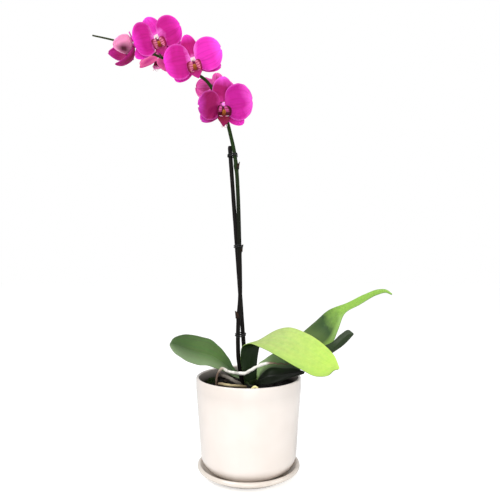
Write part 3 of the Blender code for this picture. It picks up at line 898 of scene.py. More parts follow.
@dataclass
class GrowingMedium:
    """Bark mix that fills the pot, with loose chips and a little moss on its mound."""

    pot: Pot
    edge: float = 106.0
    shoulder: Pair = (40.0, 108.5)
    mound_radius: float = 14.0
    mound: float = 111.0
    chip_count: int = 420
    chip_size: Point = (11.0, 6.5, 3.2)
    chip_corners: int = 13
    chip_tilt: float = 0.35
    moss_centre: Point = (-49.0, 24.0, 108.0)
    moss_spread: Point = (7.0, 6.0, 6.5)
    levels: Sequence[float] = (54.0, 70.0, 88.0)
    lump: float = 0.9
    lump_pitch: float = 14.0
    strand_count: int = 240
    seed: int = 11

    def inner_radius(self, height: float) -> float:
        """Radius that the medium fills at a height."""
        return self.pot.outer_radius(height) - self.pot.wall - GAP

    def level(self, radius: Array | float) -> Array:
        """Height of the mound at a distance from the axis."""
        return np.interp(radius, (self.mound_radius, self.shoulder[0], self.inner_radius(self.edge)),
                         (self.mound, self.shoulder[1], self.edge))

    def bed(self) -> Shape:
        """Return the fill: the pot's inside shape with a lumpy top."""
        heel = self.pot.inside(2 * GAP)[::-1]
        profile = [(0.0, heel[0][1]), *heel]
        profile += [(self.inner_radius(z), z) for z in (*self.levels, self.edge)]
        profile += [(float(r), float(self.level(r))) for r in np.linspace(60, 2, 30)] + [(0, self.mound)]
        bed = turned(profile, segments=120)
        x, y, z = bed.points.T
        top = (z > self.edge - 1) & (np.hypot(x, y) < self.inner_radius(self.edge) - 1)
        lumps = ripple(x[top] / self.lump_pitch, y[top] / self.lump_pitch, seed=self.seed, waves=9)
        bed.points[top, 2] += self.lump * lumps - self.lump
        bed.marks = {"shade": np.full(len(bed.points), 0.35)}
        return bed

    def chip(self, chance: np.random.Generator) -> Shape:
        """Make one broken chip: the hull of a few random points.

        Args:
            chance: Where its size, place and shade are drawn from.

        Returns:
            The chip, lying on the mound.
        """
        hull = bmesh.new()
        size = np.array(self.chip_size) * chance.uniform(0.5, 1.25)
        for point in chance.uniform(-0.5, 0.5, (self.chip_corners, 3)) * size:
            hull.verts.new(point)
        bmesh.ops.convex_hull(hull, input=hull.verts)
        loose = [vert for vert in hull.verts if not vert.link_faces]
        bmesh.ops.delete(hull, geom=loose, context="VERTS")
        hull.verts.index_update()
        points = np.array([vert.co[:] for vert in hull.verts])
        faces = [tuple(vert.index for vert in face.verts) for face in hull.faces]
        hull.free()
        radius = (self.inner_radius(self.edge) - 6) * math.sqrt(chance.uniform(0.02, 1.0))
        heading = chance.uniform(0, 2 * math.pi)
        tilt_x, tilt_y = chance.normal(0, self.chip_tilt, 2)
        turn = (Matrix.Rotation(chance.uniform(0, 2 * math.pi), 3, "Z") @ Matrix.Rotation(tilt_x, 3, "X")
                @ Matrix.Rotation(tilt_y, 3, "Y"))
        height = float(self.level(radius)) + chance.uniform(-1.2, 1.0)
        place = Vector((radius * math.cos(heading), radius * math.sin(heading), height))
        marks = {"shade": np.full(len(points), chance.uniform(0.15, 1.0) ** 1.6)}
        return Shape(points, faces, marks).moved(turn, place)

    def moss(self) -> Shape:
        """Return a tuft of curled moss strands."""
        chance = np.random.default_rng(self.seed + 1)
        strands = []
        for _ in range(self.strand_count):
            out = chance.normal(0, 1, 3)
            out[2] = abs(out[2])
            out /= np.linalg.norm(out)
            start = np.array(self.moss_centre) + out * np.array(self.moss_spread) * 0.55
            end = np.array(self.moss_centre) + out * np.array(self.moss_spread)
            bend = chance.normal(0, 1.2, 3)
            strands.append(tube([start, (start + end) / 2 + bend, end + chance.normal(0, 0.8, 3)],
                                lambda t, c: 0.55 - 0.3 * t, rings=5, sides=5))
        return Shape.join(strands)

    def build(self) -> None:
        """Make and dress the fill, the chips and the moss."""
        chance = np.random.default_rng(self.seed)
        make_piece("bark_mix", self.bed(), BARK, ["growing_medium"])
        chips = Shape.join([self.chip(chance) for _ in range(self.chip_count)])
        make_piece("bark_chips", chips, BARK, sharp=25.0)
        make_piece("moss_tuft", self.moss(), MOSS)


# ---------------------------------------------------------------------------
# Crown, leaves and roots
# ---------------------------------------------------------------------------


@dataclass
class Crown:
    """The short stem, wrapped by the old sheaths of the leaves."""

    centre: Pair = (2.0, 0.0)
    radius: float = 7.5
    foot: float = 111.3
    top: float = 131.0
    headings: tuple[float, ...] = (170.0, -20.0, 75.0, 250.0)
    sheath_height: float = 12.0
    sheath_hug: float = 100.0
    # Painted shade: the sheaths sit in shade at the heart of the plant, so their greens are painted near
    # black.
    finish: LeafSkin = LeafSkin("leaf_sheath_waxy", base="1A2410", middle="2A3A1C", tip="4A5E32",
                                under="202A14")

    def sheath(self, heading: float, foot: float) -> Shape:
        """Make one clasping sheath that points upwards.

        Args:
            heading: The side of the stem that it is on, in degrees.
            foot: The height that it starts at.

        Returns:
            The sheath.
        """
        facing = math.radians(heading)

        def surface(s: Array, q: Array) -> Array:
            """Return the sheath's middle; s runs up it and q round the stem."""
            angle = facing + q * math.radians(self.sheath_hug) * (1 - s ** 2 * 0.85)
            return round_axis(self.centre, self.radius - 0.6 + 1.1 * s, angle,
                              foot + self.sheath_height * s * (1 - 0.25 * q * q))

        return sheet(surface, rows=16, columns=24, thickness=1.0,
                     up=(math.cos(facing), math.sin(facing), 0.0))

    def build(self) -> None:
        """Make and dress the stem and its sheaths as one piece."""
        levels = np.linspace(self.foot, self.top - 4, 9)
        profile = [(0.0, self.foot)]
        profile += [(self.radius - 1.2 + 0.5 * math.cos(i * 1.7), float(z)) for i, z in enumerate(levels)]
        profile += [(self.radius - 3.5, self.top - 1.5), (0.0, self.top)]
        stem = turned(profile, segments=40, centre=self.centre)
        stem.marks["face"] = np.zeros(len(stem.points))
        foots = np.linspace(self.foot + 0.5, self.top - self.sheath_height - 2, len(self.headings))
        sheaths = [self.sheath(heading, float(foot)) for heading, foot in zip(self.headings, foots)]
        make_piece("crown_stem", Shape.join([stem, *sheaths]), self.finish, ["crown"])


@dataclass
class Leaf:
    """A thick strap-shaped leaf, drawn by its two edges from base to tip."""

    name: str
    far: Sequence[Point]
    near: Sequence[Point]
    channel: float
    finish: LeafSkin
    slot: Slot = Slot.LEAVES
    thickness: float = 2.0
    wave: float = 0.7
    groove: float = 0.35
    groove_width: float = 0.08
    seed: int = 1

    def surface(self, s: Array, q: Array) -> Array:
        """Work out the leaf's middle surface.

        Args:
            s: Places from the base, 0, to the tip, 1.
            q: Places from the far edge, -1, to the near one, 1.

        Returns:
            The points, one axis more than the places.
        """
        far, near = smooth_curve(self.far), smooth_curve(self.near)
        below = 1 if self.far[-1][0] < self.far[0][0] else -1
        step = 0.02
        side = (near(s) - far(s)) / 2
        ahead = far(s + step) - far(s - step) + near(s + step) - near(s - step)
        down = below * np.cross(side, ahead)
        down /= np.linalg.norm(down, axis=-1, keepdims=True)
        half = np.linalg.norm(side, axis=-1)
        open_share = smooth_step(s, 0.02, 0.15) * (1 - smooth_step(s, 0.93, 1.0))
        channel = self.channel * half * (1 - q * q)
        groove = self.groove * np.exp(-(q / self.groove_width) ** 2) * open_share
        wave = self.wave * np.abs(q) ** 3 * ripple(s * 2.0, q * 0.4, seed=self.seed) * open_share
        middle = (far(s) + near(s)) / 2
        return middle + side * q[..., None] + down * (channel + groove + wave)[..., None]

    def build(self) -> None:
        """Make and dress the leaf."""
        blade = sheet(self.surface, rows=150, columns=44, thickness=self.thickness, rim=0.35)
        make_piece(f"{self.name}_blade", blade, self.finish, [self.name])


LEAVES = (
    Leaf("leaf_left",
         far=[(-9, 9, 121), (-18, 10, 130), (-27, 12, 144), (-38, 14, 158), (-52, 15, 168),
              (-70, 14, 173), (-86, 9, 175), (-97, 1, 173), (-102, -7, 166)],
         near=[(-9, 4.5, 117), (-20, 1, 122), (-32, -10, 131), (-49, -18, 139), (-64, -22, 142),
               (-80, -24, 148), (-90, -23, 155), (-98, -18, 161), (-102, -9, 164)],
         channel=0.16, seed=3,
         # Painted sheen: the pale band over the near half of this leaf is a painted highlight.
         finish=LeafSkin("leaf_left_waxy", base="33502A", middle="54743A", tip="3E5A2C", under="4F6238",
                         edge="98B084", painted_side_from=0.0, painted_side_to=0.9, painted_side_share=0.5, streaks=0.32,
                         mottle=0.25, sheen=0.5)),
    Leaf("leaf_front",
         far=[(10, -8, 122), (12, -3, 150), (17, 0, 168), (30, -2, 180), (50, -9, 187),
              (74, -22, 181), (93, -44, 169), (101.5, -62, 160), (104, -79, 150)],
         near=[(-5, -12, 118), (-10, -15, 150), (-8, -18, 164), (1, -24, 169), (14, -32, 166),
               (38, -52, 157), (60, -72, 147), (78, -88, 142), (89, -91, 144), (96, -87, 148.5),
               (102.8, -81, 148.7)],
         channel=0.10, seed=5, slot=Slot.LEAF_FRONT,
         # Painted light: the pale lime and the paler near side stand in for strong light on this leaf's upper
         # face; its near-black underside is painted shade.
         finish=LeafSkin("leaf_front_painted_light", base="B2C47A", middle="AEC474", tip="BADE60",
                         under="0E2402", edge="98BC58", painted_side_share=0.4, middle_place=0.4, streaks=0.16,
                         mottle=0.3, sheen=0.05)),
    Leaf("leaf_back",
         far=[(8, 9, 123), (18, 15, 131), (29, 20, 138), (50, 33, 152), (78, 50, 174),
              (96, 56, 188), (114, 62, 202), (142, 70, 212), (172, 80, 225), (196, 88, 231.5),
              (208, 91, 230.5), (216, 92, 225)],
         near=[(10, 5.5, 117), (31, 14, 126), (56, 24, 131), (85, 35, 141), (116, 45, 156),
               (127, 52, 176), (138, 60, 198), (162, 70, 210), (192, 82, 224), (206, 88, 226.5),
               (215.5, 91, 223)],
         channel=0.20, seed=8,
         # Painted light and shade: pale at the base and lime at the tip and along the near side where light
         # falls, dark in the shaded middle.
         finish=LeafSkin("leaf_back_waxy", base="8CA656", middle="2E4C20", tip="8CB84C", under="3F5830",
                         edge="88B050", painted_side_from=0.45, painted_side_to=0.75, painted_side_share=0.8, middle_place=0.53,
                         tip_place=0.65)),
    Leaf("leaf_right",
         far=[(11.5, 4, 117), (10.5, 6, 128), (13, 8, 137), (21, 10, 142.3), (29, 12, 147.5),
              (37, 14, 151.5), (69, 20, 156), (97, 26, 157), (113, 30, 161), (128, 37, 172),
              (140, 42, 177), (147, 44, 172)],
         near=[(12.5, -2.5, 113), (20, -1, 127), (30, 0, 130.5), (62, 2, 129.5), (92, 12, 140),
               (117, 22, 151), (129, 30, 157), (140, 37, 165), (147, 43, 170.5)],
         channel=0.26, seed=13,
         # Painted light and shade: pale at the lit base, dark towards the tip and over the near half, which
         # lie in shade.
         finish=LeafSkin("leaf_right_waxy", base="BCDC98", middle="48683A", tip="26381A", under="1A2810",
                         edge="1C2C12", painted_side_from=-0.1, painted_side_to=0.6, painted_side_share=0.75,
                         middle_place=0.32, tip_place=0.7, sheen=0.3)),
    Leaf("leaf_low",
         far=[(10, -3, 114.5), (17, -9, 127), (25, -13, 135), (43, -16, 136.5), (60, -22, 136.5),
              (70, -28, 134.5)],
         near=[(6, -9, 114.5), (12, -24, 118), (30, -35, 121), (52, -35, 129), (69, -31, 133)],
         channel=0.12, seed=21,
         # Painted shade: this leaf lies in deep shade, so its colours are near black, a little lighter along
         # its far side.
         finish=LeafSkin("leaf_low_waxy", base="060A04", middle="0E1608", tip="0A1006", under="0A1006",
                         edge="1A2812", painted_side_from=-0.2, painted_side_to=-0.8, painted_side_share=0.8, sheen=0.05)),
)


@dataclass
class Root:
    """An aerial root in its spongy velamen, knobbly and not quite straight."""

    name: str
    route: Sequence[Point]
    radius: float
    finish: Finish
    taper: Sequence[Pair] = ((0.0, 1.0), (0.9, 1.0), (1.0, 0.75))
    stands_for: bool = True
    knob: float = 0.13
    knob_pitch: float = 9.0
    wander: float = 0.35
    wander_pitch: float = 15.0
    seed: int = 2

    def build(self) -> None:
        """Make and dress the root."""
        def radius(places: Array, centres: Array) -> Array:
            """Return the root's radius, knobbly along its length."""
            steps = np.linalg.norm(np.diff(centres, axis=0, prepend=centres[:1]), axis=1).cumsum()
            knobs = ripple(steps / self.knob_pitch, seed=self.seed, waves=5)
            return self.radius * (1 + self.knob * knobs) * np.interp(places, *zip(*self.taper))
        shape = tube(self.route, radius, rings=110, sides=16)
        x, _, z = shape.points.T / self.wander_pitch
        shape.points += self.wander * np.stack([ripple(x, z, seed=self.seed + k) for k in range(3)], axis=1)
        make_piece(f"{self.name}_velamen", shape, self.finish,
                   [self.name] if self.stands_for else [])


ROOTS = (
    Root("root_aerial",
         [(-38, -31, 113), (-40, -32, 120), (-39.5, -30, 127), (-38, -28, 133), (-32.5, -26, 138),
          (-27, -24, 134.5), (-20, -21, 132), (-11, -15, 129.5), (-4, -17, 130), (2, -19, 134),
          (13, -20, 140), (24, -20, 143.5), (34, -21, 144)], 2.1,
         GradedTissue("root_velamen_dry", stops=((0.0, "3E3028"), (0.2, "6A5648"), (0.27, "B8AC9C"),
                                                 (0.32, "F6F4EC"), (0.88, "F8F6EE"), (0.93, "9C8474"),
                                                 (1.0, "6E5A48")),
                      roughness=0.75, speckle_mm=2.5, bump_mm=0.25),
         taper=((0.0, 0.62), (0.2, 0.62), (0.32, 1.0), (0.88, 1.0), (0.96, 0.5), (1.0, 0.4)), seed=4),
    Root("root_pale", [(-36, -37, 122), (-26, -40, 121), (-14, -40, 120), (-3, -33, 117)], 1.7,
         GradedTissue("root_velamen_cream", stops=((0.0, "7C6C54"), (0.3, "C4B48C"), (1.0, "6C5A40")),
                      roughness=0.75, speckle_mm=2.0, bump_mm=0.25), seed=9),
    Root("root_grey", [(-34, -24, 130), (-26, -27, 127), (-17, -29, 123), (-9, -26, 118)], 2.4,
         GradedTissue("root_velamen_grey", stops=((0.0, "4C463E"), (0.5, "7C766E"), (1.0, "3A342C")),
                      roughness=0.8, speckle_mm=2.0, bump_mm=0.3), seed=14),
    Root("root_withered", [(33, -21, 144), (37, -22, 142.6), (41, -21.5, 143.6), (46, -23, 142.6),
                           (52, -22, 144)], 0.75,
         GradedTissue("root_core_withered", stops=((0.0, "6A5A48"), (1.0, "4A4030")), roughness=0.9),
         stands_for=False, seed=17),
    Root("root_at_rim", [(2.5, -60.5, 118), (4.5, -61.3, 122.5), (7.5, -61.6, 124.3), (10.5, -61.2, 122.5),
                         (12.5, -60, 117)], 1.3,
         GradedTissue("root_tip_growing", stops=((0.0, "C9BE7A"), (0.5, "F1E9A8"), (1.0, "C9BE7A")),
                      roughness=0.5), stands_for=False, seed=19),
)


# ---------------------------------------------------------------------------
# Spike, stake and ties
# ---------------------------------------------------------------------------

STEM = GradedTissue("flower_stem_waxy", stops=((0.0, "0C0908"), (0.28, "0F0C0A"), (0.38, "10160A"),
                                               (0.52, "1A2C0E"), (0.8, "243C0C"), (1.0, "30361C")),
                    roughness=0.55, speckle_mm=1.0, bump_mm=0.08, gloss=0.1)
STALK = GradedTissue("flower_stalk_waxy", stops=((0.0, "24360E"), (0.45, "7C3A54"), (1.0, "C83A9C")),
                     roughness=0.45, speckle_mm=1.0)
BRACT = GradedTissue("bract_papery_dry", stops=((0.0, "1A1412"), (1.0, "3E2C22")), roughness=0.8,
                     speckle_mm=0.7, speckle=0.3, gloss=0.1)


@dataclass
class FlowerSpike:
    """The arching flower spike, swollen at its nodes, each with a dry bract."""

    route: Sequence[Point] = (
        (-8.6, 0, 112.5), (-9.2, -0.5, 118), (-10.5, -1, 128), (-13, -2, 144), (-13.9, -2, 164),
        (-13.8, -2, 183), (-13.1, -1, 201), (-11.4, 0, 222), (-11.3, 0, 255), (-12.1, 0, 291),
        (-13, 0, 327), (-14.1, 0, 360), (-16.5, 0, 398), (-19.5, 0, 420), (-23.5, 0, 438),
        (-28.5, 0, 458), (-36, 0, 479), (-46, 0, 498), (-56, 0, 513), (-67, 0, 521.5), (-94, 0, 535),
        (-128, 0, 550), (-161, 0, 563), (-184, 0, 569.5), (-208.6, 0, 575))
    taper: Mapping[float, float] = field(default_factory=lambda: {
        112: 2.8, 400: 2.6, 480: 2.4, 535: 1.95, 563: 1.45, 575: 1.05})
    nodes: Mapping[float, float] = field(default_factory=lambda: {201: 200.0, 288: 20.0, 398: 10.0})
    swelling: float = 0.8
    swelling_reach: float = 4.0
    bract_height: float = 10.0
    bract_hug: float = 105.0

    def radius(self, places: Array, centres: Array) -> Array:
        """Radius of the spike by the height of its centre."""
        height = centres[:, 2]
        plain = np.interp(height, list(self.taper), list(self.taper.values()))
        swollen = sum(np.exp(-((height - node) / self.swelling_reach) ** 2) for node in self.nodes)
        return plain + self.swelling * swollen

    def centre(self, height: float) -> tuple[Vector, float]:
        """Return the spike's centre and radius at a height."""
        line = smooth_curve(self.route)(np.linspace(0, 1, 1200))
        nearest = line[np.abs(line[:, 2] - height).argmin()]
        return Vector(nearest), float(self.radius(np.zeros(1), nearest[None, :])[0])

    def bract(self, height: float, heading: float) -> Shape:
        """Make the pointed scale that clasps a node.

        Args:
            height: The node's height.
            heading: The side of the spike that the scale is on, in degrees.

        Returns:
            The scale.
        """
        centre, radius = self.centre(height)
        facing = math.radians(heading)

        def surface(s: Array, q: Array) -> Array:
            """Return the scale's middle; s runs up it and q round the spike."""
            angle = facing + q * math.radians(self.bract_hug) * np.sqrt(np.clip(1 - s, 0.0004, 1))
            return round_axis(centre, radius + 0.35 + 1.1 * s ** 2, angle, height - 3 + self.bract_height * s)

        return sheet(surface, rows=18, columns=18, thickness=0.5,
                     up=(math.cos(facing), math.sin(facing), 0.0))

    def build(self) -> None:
        """Make and dress the spike and the bracts."""
        stem = tube(self.route, self.radius, rings=420, sides=24)
        make_piece("spike_stem", stem, STEM, ["flower_spike"])
        bracts = [self.bract(height, heading) for height, heading in self.nodes.items()]
        make_piece("spike_bracts", Shape.join(bracts), BRACT)


@dataclass
class Stake:
    """A straight round stick that holds the spike up."""

    foot: Vector = field(default_factory=lambda: Vector((0.0, 12.0, 69.0)))
    top: Vector = field(default_factory=lambda: Vector((-25.3, 4.5, 426.5)))
    radius: float = 2.75
    end_wear: float = 0.25
    finish: DyedBamboo = DyedBamboo("bamboo_dyed_split")

    def centre(self, height: float) -> Vector:
        """Where the stick's axis is at a height."""
        return self.foot.lerp(self.top, (height - self.foot.z) / (self.top.z - self.foot.z))

    def build(self) -> None:
        """Make and dress the stick, cut square and a little worn at its ends."""
        route = [self.foot.lerp(self.top, t) for t in np.linspace(0, 1, 160)]
        def radius(places: Array, centres: Array) -> Array:
            """Return the stick's radius, uneven along it and worn at its ends."""
            worn = 1 - self.end_wear * smooth_step(np.abs(places - 0.5), 0.497, 0.5)
            return self.radius * (1 + 0.02 * ripple(centres[:, 2] / 60, seed=6)) * worn
        stick = tube(route, radius, rings=len(route), sides=20, smooth=False)
        top = stick.points[:, 2] > self.top.z
        stick.points[top, 2] = self.top.z + (stick.points[top, 2] - self.top.z) * 0.2
        make_piece("stake_stick", stick, self.finish, ["stake"])


@dataclass
class TwistTie:
    """Two turns of coated wire round the spike and the stake, its ends twisted together."""

    name: str
    height: float
    spike: FlowerSpike
    stake: Stake
    tail_heading: float = -60.0
    wire: float = 0.75
    pitch: float = 2.1
    turns: int = 2
    tail_length: float = 4.5
    tail_turns: float = 1.6
    finish: PlasticCoatedWire = PlasticCoatedWire("wire_pvc_coated")

    def outline(self) -> Array:
        """Return the belt round both stems as points x, y, starting at the stake's side."""
        (spike, spike_radius), stake = self.spike.centre(self.height), self.stake.centre(self.height)
        heading = math.atan2(stake.y - spike.y, stake.x - spike.x)
        halves = [round_axis(centre, radius + self.wire + 0.1,
                             heading + np.radians(start + np.linspace(0, 180, 12)), 0.0)
                  for centre, radius, start in ((stake, self.stake.radius, -90), (spike, spike_radius, 90))]
        return np.concatenate(halves)[:, :2]

    def build(self) -> None:
        """Make and dress the tie."""
        belt = np.roll(self.outline(), 6, axis=0)
        count = len(belt) * self.turns
        loop = np.tile(belt, (self.turns, 1))
        heights = self.height + self.pitch * (np.arange(count) / len(belt) - self.turns / 2)
        coil = tube(np.column_stack([loop, heights]), self.wire, rings=count * 4, sides=10)
        facing = math.radians(self.tail_heading)
        out = np.array((math.cos(facing), math.sin(facing), 0.15))
        middle = belt.mean(axis=0)
        reach = max((belt - middle) @ out[:2])
        root = np.array((*(middle + out[:2] * reach), self.height))
        tails = []
        for side in (1, -1):
            steps = np.linspace(0, 1, 9)
            twist = steps * self.tail_turns * 2 * math.pi
            across = np.array((-out[1], out[0], 0.0))
            path = (root + np.outer(steps * self.tail_length - 0.6, out)
                    + side * self.wire * (np.outer(np.cos(twist), across)
                                          + np.outer(np.sin(twist), (0, 0, 1))))
            tails.append(tube(path, self.wire * 0.9, rings=28, sides=9))
        make_piece(f"{self.name}_wire", Shape.join([coil, *tails]), self.finish, [self.name])


# ---------------------------------------------------------------------------
# Flowers
# ---------------------------------------------------------------------------

CLAW_RADIUS = 2.9
BOWL_SPAN = 36.0                # a tepal this long closes by the flower's whole cup angle


@dataclass(frozen=True)
class Tepal:
    """A sepal or petal as it lies in the flower's flat plan."""

    angle: float
    length: float
    width: float
    claw: float
    swell: float
    tip: float
    level: float
    lean: float
    ruffle: float
    slot: Slot

    def outline(self, s: Array) -> Array:
        """Return the blade's share of its full width at a share of its length."""
        peak = self.swell / (self.swell + self.tip)
        return s ** self.swell * (1 - s) ** self.tip / (peak ** self.swell * (1 - peak) ** self.tip)


SEPAL = Tepal(angle=90, length=32.5, width=21, claw=4.6, swell=0.46, tip=0.55, level=-0.85, lean=-0.05,
              ruffle=0.5, slot=Slot.SEPALS)
PETAL = Tepal(angle=10, length=36, width=47, claw=4.6, swell=0.42, tip=0.46, level=0.65, lean=0.03,
              ruffle=1.5, slot=Slot.PETALS)
TEPALS = {
    "dorsal_sepal": SEPAL,
    "sepal_left": replace(SEPAL, angle=221),
    "sepal_right": replace(SEPAL, angle=-41),
    "petal_left": replace(PETAL, angle=170),
    "petal_right": PETAL,
}

PINK = PetalTissue("petal_magenta")
# Painted light: a brighter copy of the petal colours for the blades that face the light.
LIT_PINK = replace(PINK, name="petal_magenta_painted_light", middle="E02CB4", outer="FF54EA")
# Painted shade: a darker copy of the petal colours for the shaded left side of flower 1.
SHADED_PINK = replace(PINK, name="petal_magenta_painted_shade", throat="B82C84", middle="900A54", outer="C034A8",
               rim="E068D0")
LOBES = StripedLobe("lip_lobe_striped")
# Painted shade: darker side lobes for flower 1, whose lip lies in shade.
SHADED_LOBES = StripedLobe("lip_lobe_painted_shade", outer="4E0820", inner="D858A4", inner_share=0.5, inner_side=0.1)
MIDLOBE = GradedTissue("lip_midlobe_waxy", stops=((0.0, "6C0A3C"), (0.55, "8E1050"), (0.85, "BC2084"),
                                                  (1.0, "D02C98")), roughness=0.45, speckle_mm=1.2,
                       speckle=0.12, translucence=0.05, gloss=0.15)
# Painted shade: a darker middle lobe for flower 1, whose lip lies in shade.
SHADED_MIDLOBE = replace(MIDLOBE, name="lip_midlobe_painted_shade", stops=((0.0, "480820"), (0.6, "780A2C"),
                                                                (1.0, "941058")))
# Painted light: a paler copy for flower 6's middle lobe, which turns away from the light.
LIT_MIDLOBE = replace(MIDLOBE, name="lip_midlobe_painted_light", stops=((0.0, "E070B0"), (1.0, "FFA4DC")))
CALLUS = GradedTissue("callus_waxy", stops=((0.0, "4A1E08"), (0.5, "8A4412"), (1.0, "A8641E")),
                      roughness=0.4, speckle_mm=0.5, speckle=0.35, gloss=0.2)
# Its pale end also paints the highlights on the middle lobe's shoulders, through the pale ridges.
CIRRUS_AND_HIGHLIGHT = GradedTissue("cirrus_and_painted_highlight", stops=((0.0, "B8487C"), (1.0, "F6DCE6")), roughness=0.4,
                      translucence=0.2)
COLUMN = GradedTissue("column_waxy", stops=((0.0, "C850B4"), (0.5, "D47CC0"), (0.8, "DEB0CE"),
                                            (1.0, "E4C8C8")), roughness=0.45, speckle_mm=0.8,
                      speckle=0.06, translucence=0.05, gloss=0.2)
PINK_COLUMN = replace(COLUMN, name="column_waxy_pink", stops=((0.0, "B030A0"), (0.6, "D858C4"),
                                                              (1.0, "EE86DC")))


@dataclass
class Flower:
    """One moth orchid flower: three sepals, two petals, a three-lobed lip and a column.

    Its own frame has +Z out of the flower's face and +Y at its top.  Its place
    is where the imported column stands.
    """

    name: str
    turn: float
    nod: float
    roll: float
    scale: float
    cup: float
    joint: Point
    finish: PetalTissue = PINK
    finishes: Mapping[str, PetalTissue] = field(default_factory=dict)
    lobe_finish: StripedLobe = LOBES
    mid_finish: GradedTissue = MIDLOBE
    column_finish: GradedTissue = COLUMN
    lip_reach: float = 25.0
    highlight_ridge_radius: float = 0.2
    tendrils: bool = False
    growth: Mapping[str, Point] = field(default_factory=dict)
    seed: int = 1
    column_foot: float = -1.3
    column_length: float = 8.5
    column_radius: float = 2.3
    tissue: float = 0.75
    neck: float = 7.0
    blunt: float = 0.9985           # a tepal is drawn to just short of its outline's end
    undulation: float = 0.5
    midrib_depth: float = 0.45
    midrib_width: float = 1.3
    edge_roll: float = 0.05
    lobe_hinge: float = 1.2
    lobe_curl: float = 8.8
    lobe_length: float = 13.6
    lobe_half_width: float = 7.2
    lobe_place: Pair = (-9.6, 3.4)
    hollow_depth: float = 0.9
    stalk_radius: float = 1.35

    def matrix(self) -> Matrix:
        """Return the flower's rotation."""
        return (Matrix.Rotation(math.radians(self.turn), 3, "Z")
                @ Matrix.Rotation(math.radians(90 + self.nod), 3, "X")
                @ Matrix.Rotation(math.radians(self.roll), 3, "Z"))

    def centre(self) -> Vector:
        """Return the flower's origin, worked out from the box of its packed column."""
        top = self.column_foot + self.column_length
        radius = self.column_radius
        club = turned([(0, self.column_foot), (radius - 0.6, self.column_foot), (radius - 0.5, 2.0),
                       (radius, top - 2.6), (radius - 0.9, top - 0.7), (0, top)], 10)
        club = club.moved(self.matrix() * self.scale, Vector())
        low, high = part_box(f"{self.name}_column")
        own = (club.points.min(0) + club.points.max(0)) / 2
        return (low + high) / 2 / MM - Vector(own)

    def placed(self, shape: Shape) -> Shape:
        """Move a shape from the flower's own frame to its place."""
        return shape.moved(self.matrix() * self.scale, self.centre())

    def bowl(self, x: Array, y: Array, height: Array) -> Array:
        """Fold points of the flower's flat plan onto the bowl that its tepals close to.

        Args:
            x: Their places to the flower's right.
            y: Their places towards its top.
            height: Their heights over the plan.

        Returns:
            The folded points, one axis more.
        """
        closing = math.radians(self.cup) / BOWL_SPAN
        spread, around = np.hypot(x, y), np.arctan2(y, x)
        bend = closing * np.maximum(spread - CLAW_RADIUS, 0.0)
        out = np.minimum(spread, CLAW_RADIUS) + np.sin(bend) / closing - height * np.sin(bend)
        rise = (1 - np.cos(bend)) / closing + height * np.cos(bend)
        return round_axis((0.0, 0.0), out, around, rise)

    def tepal(self, part: str) -> Shape:
        """Make one sepal or petal.

        Args:
            part: Which one, by its name in TEPALS.

        Returns:
            The blade, in the flower's own frame.
        """
        kind = TEPALS[part]
        turn, longer, wider = self.growth.get(part, (0.0, 1.0, 1.0))
        angle = math.radians(kind.angle + turn)
        length, width = kind.length * longer, kind.width * wider
        seed = self.seed * 10 + list(TEPALS).index(part)

        def surface(t: Array, q: Array) -> Array:
            """Return the blade's middle; t runs from claw to tip and q from edge to edge."""
            s = self.blunt * np.sin(t * math.pi / 2) ** 0.9
            along = CLAW_RADIUS + length * s
            across = q * np.maximum(width * kind.outline(s), kind.claw * (1 - s)) / 2
            x = along * math.cos(angle) - across * math.sin(angle)
            y = along * math.sin(angle) + across * math.cos(angle)
            fade = smooth_step(s, 0.05, 0.4)
            ruffle = kind.ruffle * fade * np.abs(q) ** 2.5 * ripple(s * 1.6, q * 0.7, seed=seed)
            swell = self.undulation * fade * ripple(s * 1.1, q * 0.8, seed=seed + 5)
            midrib = -self.midrib_depth * np.exp(-(q * width / 2 / self.midrib_width) ** 2) * (1 - s) * fade
            rolled = -self.edge_roll * width * fade * np.abs(q) ** 3 * smooth_step(s, 0.3, 0.9)
            height = kind.level + kind.lean * length * s + ruffle + swell + midrib + rolled
            return self.bowl(x, y, height)

        return sheet(surface, rows=52, columns=40, thickness=self.tissue, rim=0.35, probe=slice(0, 12))

    def side_lobe(self, side: int) -> Shape:
        """Make one raised side lobe of the lip.

        Args:
            side: 1 on the flower's right and -1 on its left.

        Returns:
            The lobe, in the flower's own frame.
        """
        def surface(s: Array, q: Array) -> Array:
            """Return the lobe's middle; s runs outwards and q from its top to its foot."""
            bend = s * self.lobe_length * np.sqrt(1 - 0.9 * q * q) / self.lobe_curl
            x = side * (self.lobe_hinge + self.lobe_curl * np.sin(bend))
            y = self.lobe_place[0] - self.lobe_half_width * q * (1 + 0.08 * s) + 0.8 * s
            height = self.lobe_place[1] + 0.9 * q + self.lobe_curl * (1 - np.cos(bend))
            return self.bowl(x, y, height)

        return sheet(surface, rows=26, columns=24, thickness=0.7, up=(-side, 0.0, 0.6))

    def mid_lobe(self) -> Shape:
        """Return the lip's arrow-shaped middle lobe on its narrow claw."""
        reach = self.lip_reach
        path = smooth_curve([(-2.9, 2.4), (-6.5, 3.2), (-10.5, 4.4), (-14.5, 5.6), (-18.0, 5.6),
                             (-9.0 - reach / 2, 4.6), (-reach, 2.2)])
        places = (0.0, 0.3, 0.42, 0.52, 0.6, 0.7, 0.86, 1.0)
        halves = (1.6, 2.2, 3.4, 7.0, 9.0, 8.0, 4.4, 0.5)

        def surface(s: Array, q: Array) -> Array:
            """Return the lobe's middle; s runs from claw to tip and q from edge to edge."""
            y, height = np.moveaxis(path(s), -1, 0)
            half = np.interp(s, places, halves)
            lift = 0.10 * half * q * q * (1 + 0.8 * np.sin(s * 9))
            crest = 0.5 * np.exp(-(q * half / 0.8) ** 2)
            return self.bowl(half * q, y + 0.35 * lift, height + 2.2 * lift + crest)

        return sheet(surface, rows=56, columns=26, thickness=0.9)

